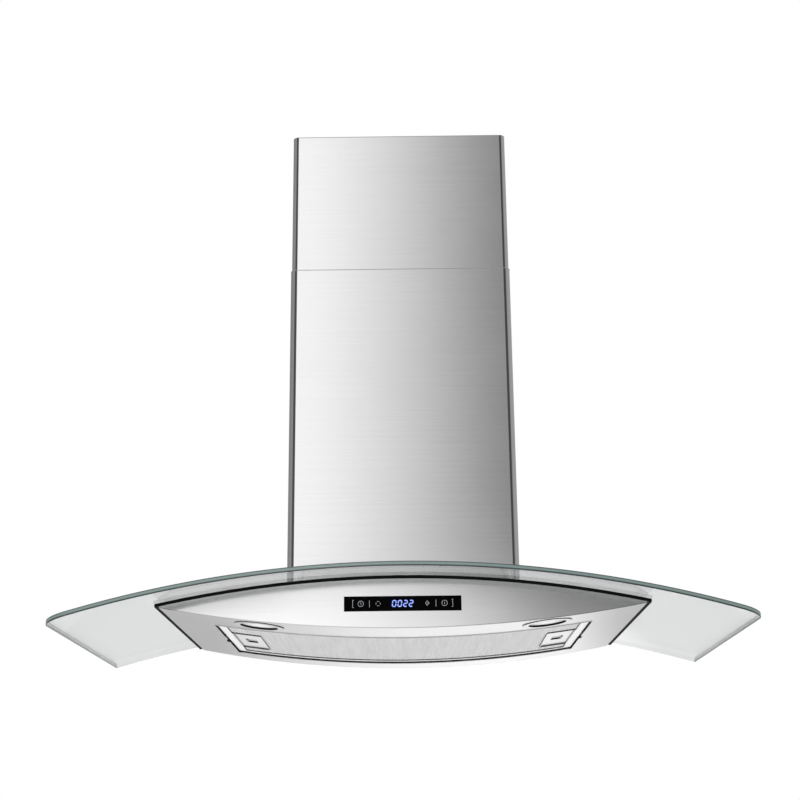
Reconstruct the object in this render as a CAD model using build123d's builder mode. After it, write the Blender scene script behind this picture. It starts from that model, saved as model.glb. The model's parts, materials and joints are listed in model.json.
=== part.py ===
from build123d import *
import os
from math import asin, cos, sin, sqrt

# Wall mount range hood. Sizes are in millimetres. The wall is the plane y = 0 and the hood reaches
# out along -Y. +X is to the right as one faces the hood, and z = 0 is the level of the body's side tips.

# Clearances
FIT_GAP = 0.2  # between pieces that are fastened together
RUN_GAP = 0.5  # between pieces that slide past each other
BORE_GAP = 0.05  # round a turning pin or shaft
HOLE_GAP = 0.2  # round a screw in its hole

# Sheet metal
SHEET = 0.8  # pan, deck and chimney covers
FASCIA_SHEET = 1.0
BACK_SHEET = 1.0
BOX_SHEET = 1.0

# Grease filter
FILTER_WIDTH = 502.0
FILTER_DEPTH = 284.0
FILTER_THICKNESS = 10.0
FILTER_RIM = 11.0
FILTER_GAP = 2.0  # between the filter and its opening
FILTER_RECESS = 3.0  # the rim's underside above the pan's
MESH_RECESS = 2.0  # the mesh lies this far above the rim's underside
MESH_THICKNESS = 2.5
LIP_HEIGHT = 11.0  # upright lip along the opening's front and beside each latch
STRIKE_LENGTH = 60.0  # lip beside a latch

# Filter latches
LATCH_OFFSET = 18.0  # latches' middle behind the filter's
POCKET_WIDTH = 40.0
POCKET_LENGTH = 146.0
POCKET_RECESS = 2.0
POCKET_SHEET = 1.0
WINDOW_WIDTH = 16.0
WINDOW_LENGTH = 36.0
SLIDER_THICKNESS = 3.0
SLIDER_WIDTH = 22.0
BOLT_REACH = 4.0  # bolt tip past the filter's edge
LATCH_TRAVEL = 5.0
TAB_THICKNESS = 2.5
SPRING_STRIP = 0.5
SPRING_HEIGHT = 2.4

# Body under the glass
FILTER_BACK = 56.0  # wall to the filter
LAMP_STRIP = 93.0  # filter to the fascia's front
PAN_SIDE = 63.0  # filter to the body's side tips
BODY_HEIGHT = 68.0  # at the centre, underside of the glass to underside of the pan
BODY_BULGE = 12.0  # how far the fascia bows out
SEAL_THICKNESS = 4.0
SEAL_WIDTH = 14.0
SEAL_FRONT_LIP = 1.0
SEAL_SIDE_LIP = 6.0
TIP_GAP = 0.4  # between deck and pan at the side tips

# Canopy glass
GLASS_SIDE_OVERHANG = 136.0
GLASS_FRONT_OVERHANG = 47.0  # fascia to the glass's front corners
GLASS_BULGE = 20.0
GLASS_THICKNESS = 6.0
GLASS_CORNER = 30.0
NOTCH_CORNER = 15.0
GLASS_SCREW_X = 230.0
GLASS_SCREW_DEPTHS = (60.0, 330.0)
SCREW_RADIUS = 2.5
CAP_RADIUS = 10.0
CAP_HEIGHT = 4.0
BUSH_RADIUS = 5.8
BUSH_FLANGE = 1.0
SCREW_END = 4.0  # screw end below the deck

# Lamps
LAMP_INSET = 126.0  # lamp's middle from the body's side tip
LAMP_RADIUS = 33.0
LAMP_RING = 8.0
LAMP_FLANGE = 0.5
LAMP_RECESS = 2.0
LENS_THICKNESS = 2.0
SLEEVE_WALL = 1.2
CAN_HEIGHT = 20.0
CAN_FINS = 8
FIN_SLOT = 4.0
FIN_DEPTH = 10.0

# Control strip
PANEL_WIDTH = 150.0
PANEL_HEIGHT = 19.0
PANEL_THICKNESS = 3.0
PANEL_PROUD = 0.6
PANEL_DROP = 2.6  # centre of the strip below the tips
HOUSING_MARGIN = 5.0
HOUSING_DEPTH = 21.0
HOUSING_WALL = 1.5
BOARD_THICKNESS = 1.6
DISPLAY_WIDTH = 44.0
DISPLAY_HEIGHT = 13.0
DISPLAY_DEPTH = 5.0

# Blower
IMPELLER_RADIUS = 67.0
IMPELLER_HALF = 58.0
BLADE_COUNT = 40
BLADE_LENGTH = 15.0
BLADE_THICKNESS = 1.2
BLADE_ANGLE = 40.0
BLADE_RING = 14.0
RING_THICKNESS = 2.0
WEB_THICKNESS = 3.0
HUB_RADIUS = 12.0
HUB_BACK = 5.0
HUB_FRONT = 12.0
SHAFT_RADIUS = 4.0
SHAFT_LENGTH = 68.0
NUT_RADIUS = 7.0
NUT_HEIGHT = 6.0
MOTOR_RADIUS = 40.0
MOTOR_LENGTH = 52.0
END_CAP_RADIUS = 14.0
END_CAP_LENGTH = 5.0
BLOWER_WIDTH = 130.0
BLOWER_SHEET = 1.0
SCROLL_CLEARANCE = 11.0  # impeller to the start of the scroll
SCROLL_STEP = 8.0  # growth of the scroll with each quarter turn
INLET_RADIUS = 55.0
GRILLE_RADIUS = 64.0
GRILLE_THICKNESS = 6.0
GRILLE_SPOKE = 4.0
GRILLE_SPOKES = 3  # bars across the whole guard
BOSS_RADIUS = 10.0

# Charcoal filters
CARBON_RADIUS = 86.0
CARBON_THICKNESS = 32.0
CARBON_STANDOFF = 6.0
CARBON_RIM = 4.0
CARBON_GRID = 2.5
CARBON_BARS = 3  # bars across the whole disc
CARBON_BAR = 3.0
CARBON_RING = 48.0
CARBON_HUB = 15.0

# Blower box
CARBON_ROOM = 30.0  # charcoal filter to the box's side
CARBON_BACK_ROOM = 2.0
SCROLL_FLOOR_ROOM = 23.0
OUTLET_RISE = 72.0  # top of the scroll to the top of the box
BOX_FRONT_ROOM = 13.0  # collar flange to the box's front
BOX_FLANGE = 6.0
DECK_LEDGE = 10.0  # deck left under the box's walls
NOTCH_GAP = 3.0  # box flange to the glass

# Outlet collar
COLLAR_RADIUS = 74.5
COLLAR_WALL = 2.0
COLLAR_HEIGHT = 53.0
COLLAR_FLANGE = 18.5
COLLAR_FLANGE_SHEET = 2.0
COLLAR_SCREW_INSET = 9.0
FLAP_RISE = 26.0  # flap pins above the collar's flange
FLAP_SHEET = 1.0
FLAP_GAP = 1.5  # flap's rim to the collar's wall
FLAP_PIN_RADIUS = 1.5
FLAP_PIN_OFFSET = 7.0  # each pin from the collar's axis
FLAP_BARREL = 3.2
STOP_LEDGE = 2.5
STOP_HEIGHT = 2.0

# Chimney covers
CHIMNEY_SIDE_ROOM = 21.5  # blower box to the outside of the lower cover
CHIMNEY_FRONT_ROOM = 34.0
CHIMNEY_CORNER = 10.0
CHIMNEY_BACK_CORNER = 2.0
CHIMNEY_RETURN = 14.0
SLIDE_GAP = 0.6
LOWER_LENGTH = 479.5
UPPER_LENGTH = 460.0
UPPER_SHOWN = 218.0
VENT_LENGTH = 90.0
VENT_WIDTH = 6.0
VENT_PITCH = 13.0
VENT_COUNT = 5
VENT_DROP = 85.0  # middle of the vents below the upper cover's top

# Chimney fixings
BRACKET_SHEET = 1.5
BRACKET_HEIGHT = 36.0
BRACKET_DROP = 7.0
BRACKET_EAR = 42.0
BRACKET_HOLE_X = 100.0
BRACKET_HOLE = 3.5
BRACKET_SCREW_DEPTH = 25.0
CLIP_LENGTH = 40.0
CLIP_HEIGHT = 38.0
CLIP_RISE = 20.0  # bottom of the clip above the deck's crown
CLIP_DEPTH = 40.0  # middle of the clip from the wall
SMALL_SCREW = 2.0
SMALL_HEAD = 4.0
SMALL_HEAD_HEIGHT = 2.4
SMALL_SCREW_END = 4.0

# Wall holes
HANG_HOLE_X = 110.0
HANG_HOLE = 4.0
HANG_DROP = 35.0  # holes below the top of the blower box
LOCK_HOLE_X = 200.0
LOCK_HOLE = 3.0

# Electrical boxes
JUNCTION_WIDTH = 110.0
JUNCTION_HEIGHT = 70.0
JUNCTION_DEPTH = 22.0
JUNCTION_WALL = 1.5
JUNCTION_DROP = 30.0  # top of the junction box below the top of the blower box
GLAND_RADIUS = 8.0
GLAND_HEIGHT = 14.0
GLAND_BORE = 4.0
CAPACITOR_RADIUS = 15.0
CAPACITOR_LENGTH = 58.0
CAPACITOR_DROP = 6.0
CAPACITOR_X = 112.0
CAPACITOR_STANDOFF = 4.0
CLIP_BAND = 12.0
CLIP_BAND_SHEET = 1.2
DRIVER_WIDTH = 60.0
DRIVER_DEPTH = 36.0
DRIVER_HEIGHT = 20.0
DRIVER_X = 118.0

REACH = 1000.0  # longer than any cut through the hood
SIDES = (("left", -1), ("right", 1))

# Worked-out sizes of the body
BODY_HALF = FILTER_WIDTH / 2 + PAN_SIDE
BODY_DEPTH = FILTER_BACK + FILTER_DEPTH + LAMP_STRIP
FRONT_RADIUS = (BODY_HALF**2 + BODY_BULGE**2) / (2 * BODY_BULGE)
TIP_HEIGHT = SEAL_THICKNESS + 2 * FIT_GAP + 2 * SHEET + TIP_GAP
SAG = (BODY_HEIGHT - TIP_HEIGHT) / 2
BEND_RADIUS = (BODY_HALF**2 + SAG**2) / (2 * SAG)
CROWN_CENTRE = BODY_HEIGHT / 2 - BEND_RADIUS
KEEL_CENTRE = BEND_RADIUS - BODY_HEIGHT / 2

# Radii of the upper pieces about the crown's centre, and of the lower ones about the keel's centre
GLASS_LOW = BEND_RADIUS
GLASS_HIGH = GLASS_LOW + GLASS_THICKNESS
SEAL_HIGH = GLASS_LOW - FIT_GAP
SEAL_LOW = SEAL_HIGH - SEAL_THICKNESS
DECK_HIGH = SEAL_LOW - FIT_GAP
DECK_LOW = DECK_HIGH - SHEET
PAN_LOW = BEND_RADIUS
PAN_HIGH = PAN_LOW - SHEET
FILTER_LOW = PAN_LOW - FILTER_RECESS

# Worked-out sizes of the blower, its box and the chimney
SCROLL_START = IMPELLER_RADIUS + SCROLL_CLEARANCE
OUTLET_WIDTH = SCROLL_START + 3 * SCROLL_STEP
SCROLL_Y = -(BOX_SHEET + CARBON_BACK_ROOM + CARBON_RADIUS)
COLLAR_Y = SCROLL_Y - OUTLET_WIDTH / 2
SEAT_Z = CROWN_CENTRE + DECK_HIGH + FIT_GAP
SCROLL_Z = SEAT_Z + SCROLL_FLOOR_ROOM + BLOWER_SHEET + SCROLL_START + SCROLL_STEP
BOX_TOP = SCROLL_Z + SCROLL_START + OUTLET_RISE
BOX_DEPTH = COLLAR_RADIUS + COLLAR_FLANGE + BOX_FRONT_ROOM - COLLAR_Y
BLOWER_HALF = BLOWER_WIDTH / 2
SIDE_X = BLOWER_HALF + BLOWER_SHEET
CARBON_X = SIDE_X + GRILLE_THICKNESS + CARBON_STANDOFF
BOX_HALF = CARBON_X + CARBON_THICKNESS + CARBON_ROOM + BOX_SHEET
CHIMNEY_WIDTH = 2 * (BOX_HALF + CHIMNEY_SIDE_ROOM)
CHIMNEY_DEPTH = BOX_DEPTH + CHIMNEY_FRONT_ROOM
UPPER_INSET = SHEET + SLIDE_GAP
LOWER_TOP = CROWN_CENTRE + GLASS_HIGH + LOWER_LENGTH
UPPER_TOP = LOWER_TOP + UPPER_SHOWN
FILTER_MID = FILTER_BACK + FILTER_DEPTH / 2
LATCH_MID = FILTER_MID - LATCH_OFFSET
LAMP_DEPTH = FILTER_BACK + FILTER_DEPTH + LAMP_STRIP / 2
LAMP_X = BODY_HALF - LAMP_INSET


def crown(radius):
    """Height at x of an arch about the glass's bend centre."""
    return lambda x: CROWN_CENTRE + sqrt(radius**2 - x**2)


def keel(radius):
    """Height at x of an arch about the bend centre of the body's underside."""
    return lambda x: KEEL_CENTRE - sqrt(radius**2 - x**2)


def crown_plane(radius, x, depth):
    """Plane that touches a crown arch at x and a distance from the wall, facing up."""
    tilt = asin(x / radius)
    origin = (x, -depth, crown(radius)(x))
    return Plane(origin, x_dir=(cos(tilt), 0, -sin(tilt)), z_dir=(sin(tilt), 0, cos(tilt)))


def keel_plane(radius, x, depth):
    """Plane that touches a keel arch at x and a distance from the wall, facing up into the body."""
    tilt = asin(x / radius)
    origin = (x, -depth, keel(radius)(x))
    return Plane(origin, x_dir=(cos(tilt), 0, sin(tilt)), z_dir=(-sin(tilt), 0, cos(tilt)))


def front_depth(x, inset):
    """Distance from the wall, at x, of a face set back from the fascia's bowed front."""
    radius = FRONT_RADIUS - inset
    return BODY_DEPTH - inset - radius + sqrt(radius**2 - x**2)


def band(low, high, half_width):
    """Upright face between two arches, in the wall's plane."""
    with BuildSketch(Plane.XZ) as face:
        with BuildLine():
            lower = ThreePointArc(*((x, low(x)) for x in (-half_width, 0, half_width)))
            upper = ThreePointArc(*((x, high(x)) for x in (-half_width, 0, half_width)))
            Line(lower @ 0, upper @ 0)
            Line(lower @ 1, upper @ 1)
        make_face()
    return face.sketch


def bowed_face(half_width, back, side_depth, centre_depth):
    """Plan face whose front edge bows out between its corners."""
    with BuildSketch() as face:
        with BuildLine():
            Polyline(
                (-half_width, -side_depth),
                (-half_width, -back),
                (half_width, -back),
                (half_width, -side_depth),
            )
            ThreePointArc((half_width, -side_depth), (0, -centre_depth), (-half_width, -side_depth))
        make_face()
    return face.sketch


def body_face(half_width, back, inset):
    """Plan face that follows the fascia's bow, set back by an inset."""
    return bowed_face(half_width, back, front_depth(half_width, inset), front_depth(0, inset))


def frame_face(width, depth, rim, middle):
    """Plan face of a rectangular frame whose middle lies at a distance from the wall."""
    with BuildSketch() as face:
        with Locations((0, -middle)):
            Rectangle(width, depth)
            Rectangle(width - 2 * rim, depth - 2 * rim, mode=Mode.SUBTRACT)
    return face.sketch


def block_face(width, depth, x, middle):
    """Plan face of a rectangle."""
    with BuildSketch() as face:
        with Locations((x, -middle)):
            Rectangle(width, depth)
    return face.sketch


def arched_plate(plan, low, high):
    """Bent plate between two arches, cut to a plan."""
    box = plan.bounding_box()
    half_width = max(-box.min.X, box.max.X)
    with BuildPart() as plate:
        extrude(band(low, high, half_width), amount=-box.min.Y)
        extrude(plan, amount=REACH, both=True, mode=Mode.INTERSECT)
    return plate.part


def chimney_face(inset):
    """Plan of a chimney cover: front, two sides and a return at each side of the open back."""
    width = CHIMNEY_WIDTH - 2 * inset
    depth = CHIMNEY_DEPTH - 2 * inset
    with BuildSketch() as face:
        with Locations((0, -CHIMNEY_DEPTH / 2)):
            Rectangle(width, depth)
        fillet(face.vertices().group_by(Axis.Y)[0], CHIMNEY_CORNER - inset)
        fillet(face.vertices().group_by(Axis.Y)[-1], CHIMNEY_BACK_CORNER)
        offset(amount=-SHEET, mode=Mode.SUBTRACT)
        with Locations((0, -inset)):
            Rectangle(width - 2 * CHIMNEY_RETURN, 2 * CHIMNEY_BACK_CORNER + 2 * SHEET, mode=Mode.SUBTRACT)
    return face.sketch


def scroll_face():
    """Inside of the scroll, in quarter turns that each grow by one step, and of its upright outlet."""
    first = SCROLL_START
    second = first + SCROLL_STEP
    third = second + SCROLL_STEP
    step_y = SCROLL_Y - SCROLL_STEP
    step_z = SCROLL_Z + SCROLL_STEP
    outlet_front = SCROLL_Y - OUTLET_WIDTH
    outlet_top = BOX_TOP - BOX_SHEET - FIT_GAP
    with BuildSketch(Plane.YZ) as face:
        with BuildLine():
            CenterArc((SCROLL_Y, SCROLL_Z), first, 0, 90)
            CenterArc((step_y, SCROLL_Z), second, 270, 90)
            CenterArc((step_y, step_z), third, 180, 90)
            Polyline(
                (outlet_front, step_z),
                (outlet_front, outlet_top),
                (SCROLL_Y, outlet_top),
                (SCROLL_Y, SCROLL_Z + first),
            )
        make_face()
    return face.sketch_local


def save(piece, name):
    """Label a finished piece and write it out."""
    piece.label = name
    export_step(piece, f"parts/{name}.step")


os.makedirs("parts", exist_ok=True)

# Canopy: bent pane with rounded front corners, a notch for the blower box and four screw holes
box_flange_half = BOX_HALF + BOX_FLANGE
notch_half = box_flange_half + NOTCH_GAP
notch_depth = BOX_DEPTH + BOX_FLANGE + NOTCH_GAP
glass_half = BODY_HALF + GLASS_SIDE_OVERHANG
glass_side_depth = BODY_DEPTH + GLASS_FRONT_OVERHANG
screw_planes = []
for screw_depth in GLASS_SCREW_DEPTHS:
    for side, sign in SIDES:
        screw_planes.append(crown_plane(GLASS_HIGH, sign * GLASS_SCREW_X, screw_depth))

with BuildSketch() as notch_plan:
    with Locations((0, -notch_depth / 2)):
        Rectangle(2 * notch_half, notch_depth)
    fillet(notch_plan.vertices().group_by(Axis.Y)[0], NOTCH_CORNER)

with BuildSketch() as glass_plan:
    add(bowed_face(glass_half, 0, glass_side_depth, glass_side_depth + GLASS_BULGE))
    fillet(glass_plan.vertices().group_by(Axis.Y)[0], GLASS_CORNER)
    add(notch_plan.sketch, mode=Mode.SUBTRACT)

with BuildPart() as glass_canopy:
    add(arched_plate(glass_plan.sketch, crown(GLASS_LOW), crown(GLASS_HIGH)))
    for plane in screw_planes:
        with BuildSketch(plane):
            Circle(BUSH_RADIUS + HOLE_GAP)
        extrude(amount=2 * GLASS_THICKNESS, both=True, mode=Mode.SUBTRACT)
save(glass_canopy.part, "glass_canopy")

# Seal between the glass and the body, open at the back where the blower box stands
seal_half = BODY_HALF + SEAL_SIDE_LIP
back_clear = BACK_SHEET + FIT_GAP
with BuildSketch() as seal_plan:
    add(body_face(seal_half, back_clear, -SEAL_FRONT_LIP))
    add(
        body_face(seal_half - SEAL_WIDTH, SEAL_WIDTH, SEAL_WIDTH - SEAL_FRONT_LIP),
        mode=Mode.SUBTRACT,
    )
    add(notch_plan.sketch, mode=Mode.SUBTRACT)

with BuildPart() as glass_seal:
    add(arched_plate(seal_plan.sketch, crown(SEAL_LOW), crown(SEAL_HIGH)))
save(glass_seal.part, "glass_seal")

# Screws and flanged bushes that hold the glass on the deck
bush_length = GLASS_HIGH - DECK_HIGH
with BuildPart() as glass_washers:
    for plane in screw_planes:
        with BuildSketch(plane):
            Circle(CAP_RADIUS - BUSH_FLANGE)
            Circle(SCREW_RADIUS + HOLE_GAP, mode=Mode.SUBTRACT)
        extrude(amount=BUSH_FLANGE)
        with BuildSketch(plane):
            Circle(BUSH_RADIUS)
            Circle(SCREW_RADIUS + HOLE_GAP, mode=Mode.SUBTRACT)
        extrude(amount=-bush_length)
save(glass_washers.part, "glass_washers")

with BuildPart() as glass_screws:
    for plane in screw_planes:
        with BuildSketch(plane.offset(BUSH_FLANGE)):
            Circle(CAP_RADIUS)
        extrude(amount=CAP_HEIGHT)
        with BuildSketch(plane.offset(BUSH_FLANGE)):
            Circle(SCREW_RADIUS)
        extrude(amount=-(BUSH_FLANGE + bush_length + SHEET + SCREW_END))
    fillet(glass_screws.edges().filter_by(GeomType.CIRCLE).sort_by(Axis.Z)[-4:], CAP_HEIGHT / 2)
save(glass_screws.part, "glass_screws")

# Fascia: upright bowed front of the body, with the control strip's cut-out
panel_face = Plane.XZ.offset(BODY_DEPTH / 2)
with BuildSketch() as fascia_plan:
    add(body_face(BODY_HALF, 0, 0))
    add(body_face(BODY_HALF, 0, FASCIA_SHEET), mode=Mode.SUBTRACT)

with BuildPart() as front_fascia:
    add(arched_plate(fascia_plan.sketch, keel(PAN_LOW), crown(DECK_HIGH)))
    with BuildSketch(panel_face):
        with Locations((0, -PANEL_DROP)):
            Rectangle(PANEL_WIDTH + 2 * FIT_GAP, PANEL_HEIGHT + 2 * FIT_GAP)
    extrude(amount=BODY_DEPTH, mode=Mode.SUBTRACT)
save(front_fascia.part, "front_fascia")

# Back panel with the two holes that lock the body to the wall
with BuildPart() as back_panel:
    extrude(band(keel(PAN_LOW), crown(DECK_HIGH), BODY_HALF), amount=BACK_SHEET)
    with BuildSketch(Plane.XZ):
        with Locations((-LOCK_HOLE_X, 0), (LOCK_HOLE_X, 0)):
            Circle(LOCK_HOLE)
    extrude(amount=BACK_SHEET, mode=Mode.SUBTRACT)
save(back_panel.part, "back_panel")

# Deck: arched sheet under the glass, with the air opening below the blower box
shell_plan = body_face(BODY_HALF, back_clear, FASCIA_SHEET + FIT_GAP)
with BuildSketch() as air_opening:
    with Locations((0, -BOX_DEPTH / 2)):
        Rectangle(2 * (BOX_HALF - DECK_LEDGE), BOX_DEPTH - 2 * DECK_LEDGE)

with BuildPart() as top_deck:
    add(arched_plate(shell_plan, crown(DECK_LOW), crown(DECK_HIGH)))
    extrude(air_opening.sketch, amount=REACH, both=True, mode=Mode.SUBTRACT)
    for plane in screw_planes:
        with BuildSketch(plane):
            Circle(SCREW_RADIUS + HOLE_GAP)
        extrude(amount=-(bush_length + 2 * GLASS_THICKNESS), mode=Mode.SUBTRACT)
save(top_deck.part, "top_deck")

# Pan: curved underside with the filter opening, a lip in front, a notched strike for each latch and lamp holes
opening_width = FILTER_WIDTH + 2 * FILTER_GAP
opening_depth = FILTER_DEPTH + 2 * FILTER_GAP
with BuildSketch() as lip_plan:
    with Locations((0, -(FILTER_MID + opening_depth / 2))):
        Rectangle(opening_width, SHEET, align=(Align.CENTER, Align.MAX))
    for side, sign in SIDES:
        with Locations((sign * (opening_width + SHEET) / 2, -LATCH_MID)):
            Rectangle(SHEET, STRIKE_LENGTH)

sleeve_radius = LAMP_RADIUS - LAMP_RING + 2 * SLEEVE_WALL
notch_reach = BOLT_REACH + RUN_GAP
notch_width = SLIDER_WIDTH + 2 * RUN_GAP

with BuildPart() as bottom_pan:
    add(arched_plate(shell_plan, keel(PAN_LOW), keel(PAN_HIGH)))
    extrude(
        block_face(opening_width, opening_depth, 0, FILTER_MID),
        amount=REACH,
        both=True,
        mode=Mode.SUBTRACT,
    )
    add(arched_plate(lip_plan.sketch, keel(PAN_LOW - SHEET / 2), keel(PAN_HIGH - LIP_HEIGHT)))
    extrude(
        block_face(FILTER_WIDTH + 2 * notch_reach, notch_width, 0, LATCH_MID),
        amount=REACH,
        both=True,
        mode=Mode.SUBTRACT,
    )
    for side, sign in SIDES:
        with BuildSketch(keel_plane(PAN_LOW, sign * LAMP_X, LAMP_DEPTH)):
            Circle(sleeve_radius + HOLE_GAP)
        extrude(amount=LAMP_RADIUS, both=True, mode=Mode.SUBTRACT)
save(bottom_pan.part, "bottom_pan")

# Lamps: recessed lens held in a sleeved ring, with a finned can above it
lens_radius = sleeve_radius - SLEEVE_WALL - FIT_GAP
for side, sign in SIDES:
    lamp_plane = keel_plane(PAN_LOW, sign * LAMP_X, LAMP_DEPTH)

    with BuildPart() as lamp_bezel:
        with BuildSketch(lamp_plane.offset(-FIT_GAP)):
            Circle(LAMP_RADIUS)
            Circle(LAMP_RADIUS - LAMP_RING, mode=Mode.SUBTRACT)
        extrude(amount=-LAMP_FLANGE)
        with BuildSketch(lamp_plane.offset(-FIT_GAP)):
            Circle(sleeve_radius)
            Circle(LAMP_RADIUS - LAMP_RING, mode=Mode.SUBTRACT)
        extrude(amount=LAMP_RECESS)
        with BuildSketch(lamp_plane.offset(LAMP_RECESS - FIT_GAP)):
            Circle(sleeve_radius)
            Circle(sleeve_radius - SLEEVE_WALL, mode=Mode.SUBTRACT)
        extrude(amount=2 * LENS_THICKNESS)
        fillet(lamp_bezel.edges().filter_by(GeomType.CIRCLE).sort_by(SortBy.LENGTH)[-2:], LAMP_FLANGE / 3)
    save(lamp_bezel.part, f"lamp_bezel_{side}")

    with BuildPart() as lamp_lens:
        with BuildSketch(lamp_plane.offset(LAMP_RECESS)):
            Circle(lens_radius)
        extrude(amount=LENS_THICKNESS)
    save(lamp_lens.part, f"lamp_lens_{side}")

    with BuildPart() as lamp_can:
        can_plane = lamp_plane.offset(LAMP_RECESS + LENS_THICKNESS + FIT_GAP)
        with BuildSketch(can_plane):
            Circle(lens_radius)
        extrude(amount=CAN_HEIGHT)
        with BuildSketch(can_plane.offset(CAN_HEIGHT)):
            with PolarLocations(lens_radius, CAN_FINS):
                Rectangle(lens_radius, FIN_SLOT)
        extrude(amount=-FIN_DEPTH, mode=Mode.SUBTRACT)
    save(lamp_can.part, f"lamp_can_{side}")

# Touch strip in the fascia, and the electronics in a tray behind it
with BuildSketch() as strip_plan:
    add(body_face(PANEL_WIDTH / 2, 0, -PANEL_PROUD))
    add(body_face(PANEL_WIDTH / 2, 0, PANEL_THICKNESS - PANEL_PROUD), mode=Mode.SUBTRACT)

with BuildPart() as touch_panel:
    with BuildSketch(Plane.XY.offset(-PANEL_DROP)):
        add(strip_plan.sketch)
    extrude(amount=PANEL_HEIGHT / 2, both=True)
save(touch_panel.part, "touch_panel")

housing_width = PANEL_WIDTH + 2 * HOUSING_MARGIN
housing_height = PANEL_HEIGHT + 2 * HOUSING_MARGIN
housing_front = front_depth(housing_width / 2, FASCIA_SHEET) - FIT_GAP
housing_plane = Plane.XZ.offset(housing_front)
with BuildPart() as control_housing:
    with BuildSketch(housing_plane):
        with Locations((0, -PANEL_DROP)):
            Rectangle(housing_width, housing_height)
    extrude(amount=-HOUSING_DEPTH)
    with BuildSketch(housing_plane):
        with Locations((0, -PANEL_DROP)):
            Rectangle(housing_width - 2 * HOUSING_WALL, housing_height - 2 * HOUSING_WALL)
    extrude(amount=-(HOUSING_DEPTH - HOUSING_WALL), mode=Mode.SUBTRACT)
save(control_housing.part, "control_housing")

board_width = housing_width - 2 * (HOUSING_WALL + FIT_GAP)
board_height = housing_height - 2 * (HOUSING_WALL + FIT_GAP)
display_front = front_depth(DISPLAY_WIDTH / 2, PANEL_THICKNESS - PANEL_PROUD) - FIT_GAP
board_plane = Plane.XZ.offset(display_front - DISPLAY_DEPTH)
with BuildPart() as control_board:
    with BuildSketch(board_plane):
        with Locations((0, -PANEL_DROP)):
            Rectangle(board_width, board_height)
    extrude(amount=-BOARD_THICKNESS)
save(control_board.part, "control_board")

with BuildPart() as display_module:
    with BuildSketch(board_plane):
        with Locations((0, -PANEL_DROP)):
            Rectangle(DISPLAY_WIDTH, DISPLAY_HEIGHT)
    extrude(amount=DISPLAY_DEPTH)
save(display_module.part, "display_module")

# Lamp supply, hung under the deck beside the control tray
driver_top = crown(DECK_LOW)(DRIVER_X + DRIVER_WIDTH / 2) - FIT_GAP
with BuildPart() as led_driver:
    with BuildSketch(Plane.XY.offset(driver_top)):
        with Locations((DRIVER_X, -LAMP_DEPTH)):
            Rectangle(DRIVER_WIDTH, DRIVER_DEPTH)
    extrude(amount=-DRIVER_HEIGHT)
    fillet(led_driver.edges().filter_by(Axis.Z), FIT_GAP * 10)
save(led_driver.part, "led_driver")

# Grease filter: arched rim, mesh pad with a pocket at each end, and the latches in those pockets
rim_inner_half = FILTER_WIDTH / 2 - FILTER_RIM
pocket_outer = rim_inner_half - FIT_GAP
latch_x = pocket_outer - POCKET_WIDTH / 2
slider_low = POCKET_RECESS + POCKET_SHEET + RUN_GAP
bolt_tip = FILTER_WIDTH / 2 - latch_x + BOLT_REACH
slider_inner = -POCKET_WIDTH / 2 + POCKET_SHEET + LATCH_TRAVEL + 4 * SPRING_STRIP
tab_place = WINDOW_WIDTH / 2 - TAB_THICKNESS - RUN_GAP

with BuildPart() as filter_frame:
    add(
        arched_plate(
            frame_face(FILTER_WIDTH, FILTER_DEPTH, FILTER_RIM, FILTER_MID),
            keel(FILTER_LOW),
            keel(FILTER_LOW - FILTER_THICKNESS),
        )
    )
    for side, sign in SIDES:
        with BuildSketch(keel_plane(FILTER_LOW, sign * latch_x, LATCH_MID).offset(slider_low - RUN_GAP)):
            with Locations((sign * bolt_tip, 0)):
                Rectangle(2 * (FILTER_RIM + BOLT_REACH), SLIDER_WIDTH + 2 * RUN_GAP)
        extrude(amount=SLIDER_THICKNESS + 2 * RUN_GAP, mode=Mode.SUBTRACT)
save(filter_frame.part, "filter_frame")

with BuildSketch() as mesh_plan:
    with Locations((0, -FILTER_MID)):
        Rectangle(2 * pocket_outer, FILTER_DEPTH - 2 * (FILTER_RIM + FIT_GAP))
    with Locations((-latch_x, -LATCH_MID), (latch_x, -LATCH_MID)):
        Rectangle(POCKET_WIDTH + 2 * FIT_GAP, POCKET_LENGTH + 2 * FIT_GAP, mode=Mode.SUBTRACT)

with BuildPart() as filter_mesh:
    add(
        arched_plate(
            mesh_plan.sketch,
            keel(FILTER_LOW - MESH_RECESS),
            keel(FILTER_LOW - MESH_RECESS - MESH_THICKNESS),
        )
    )
save(filter_mesh.part, "filter_mesh")

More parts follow.
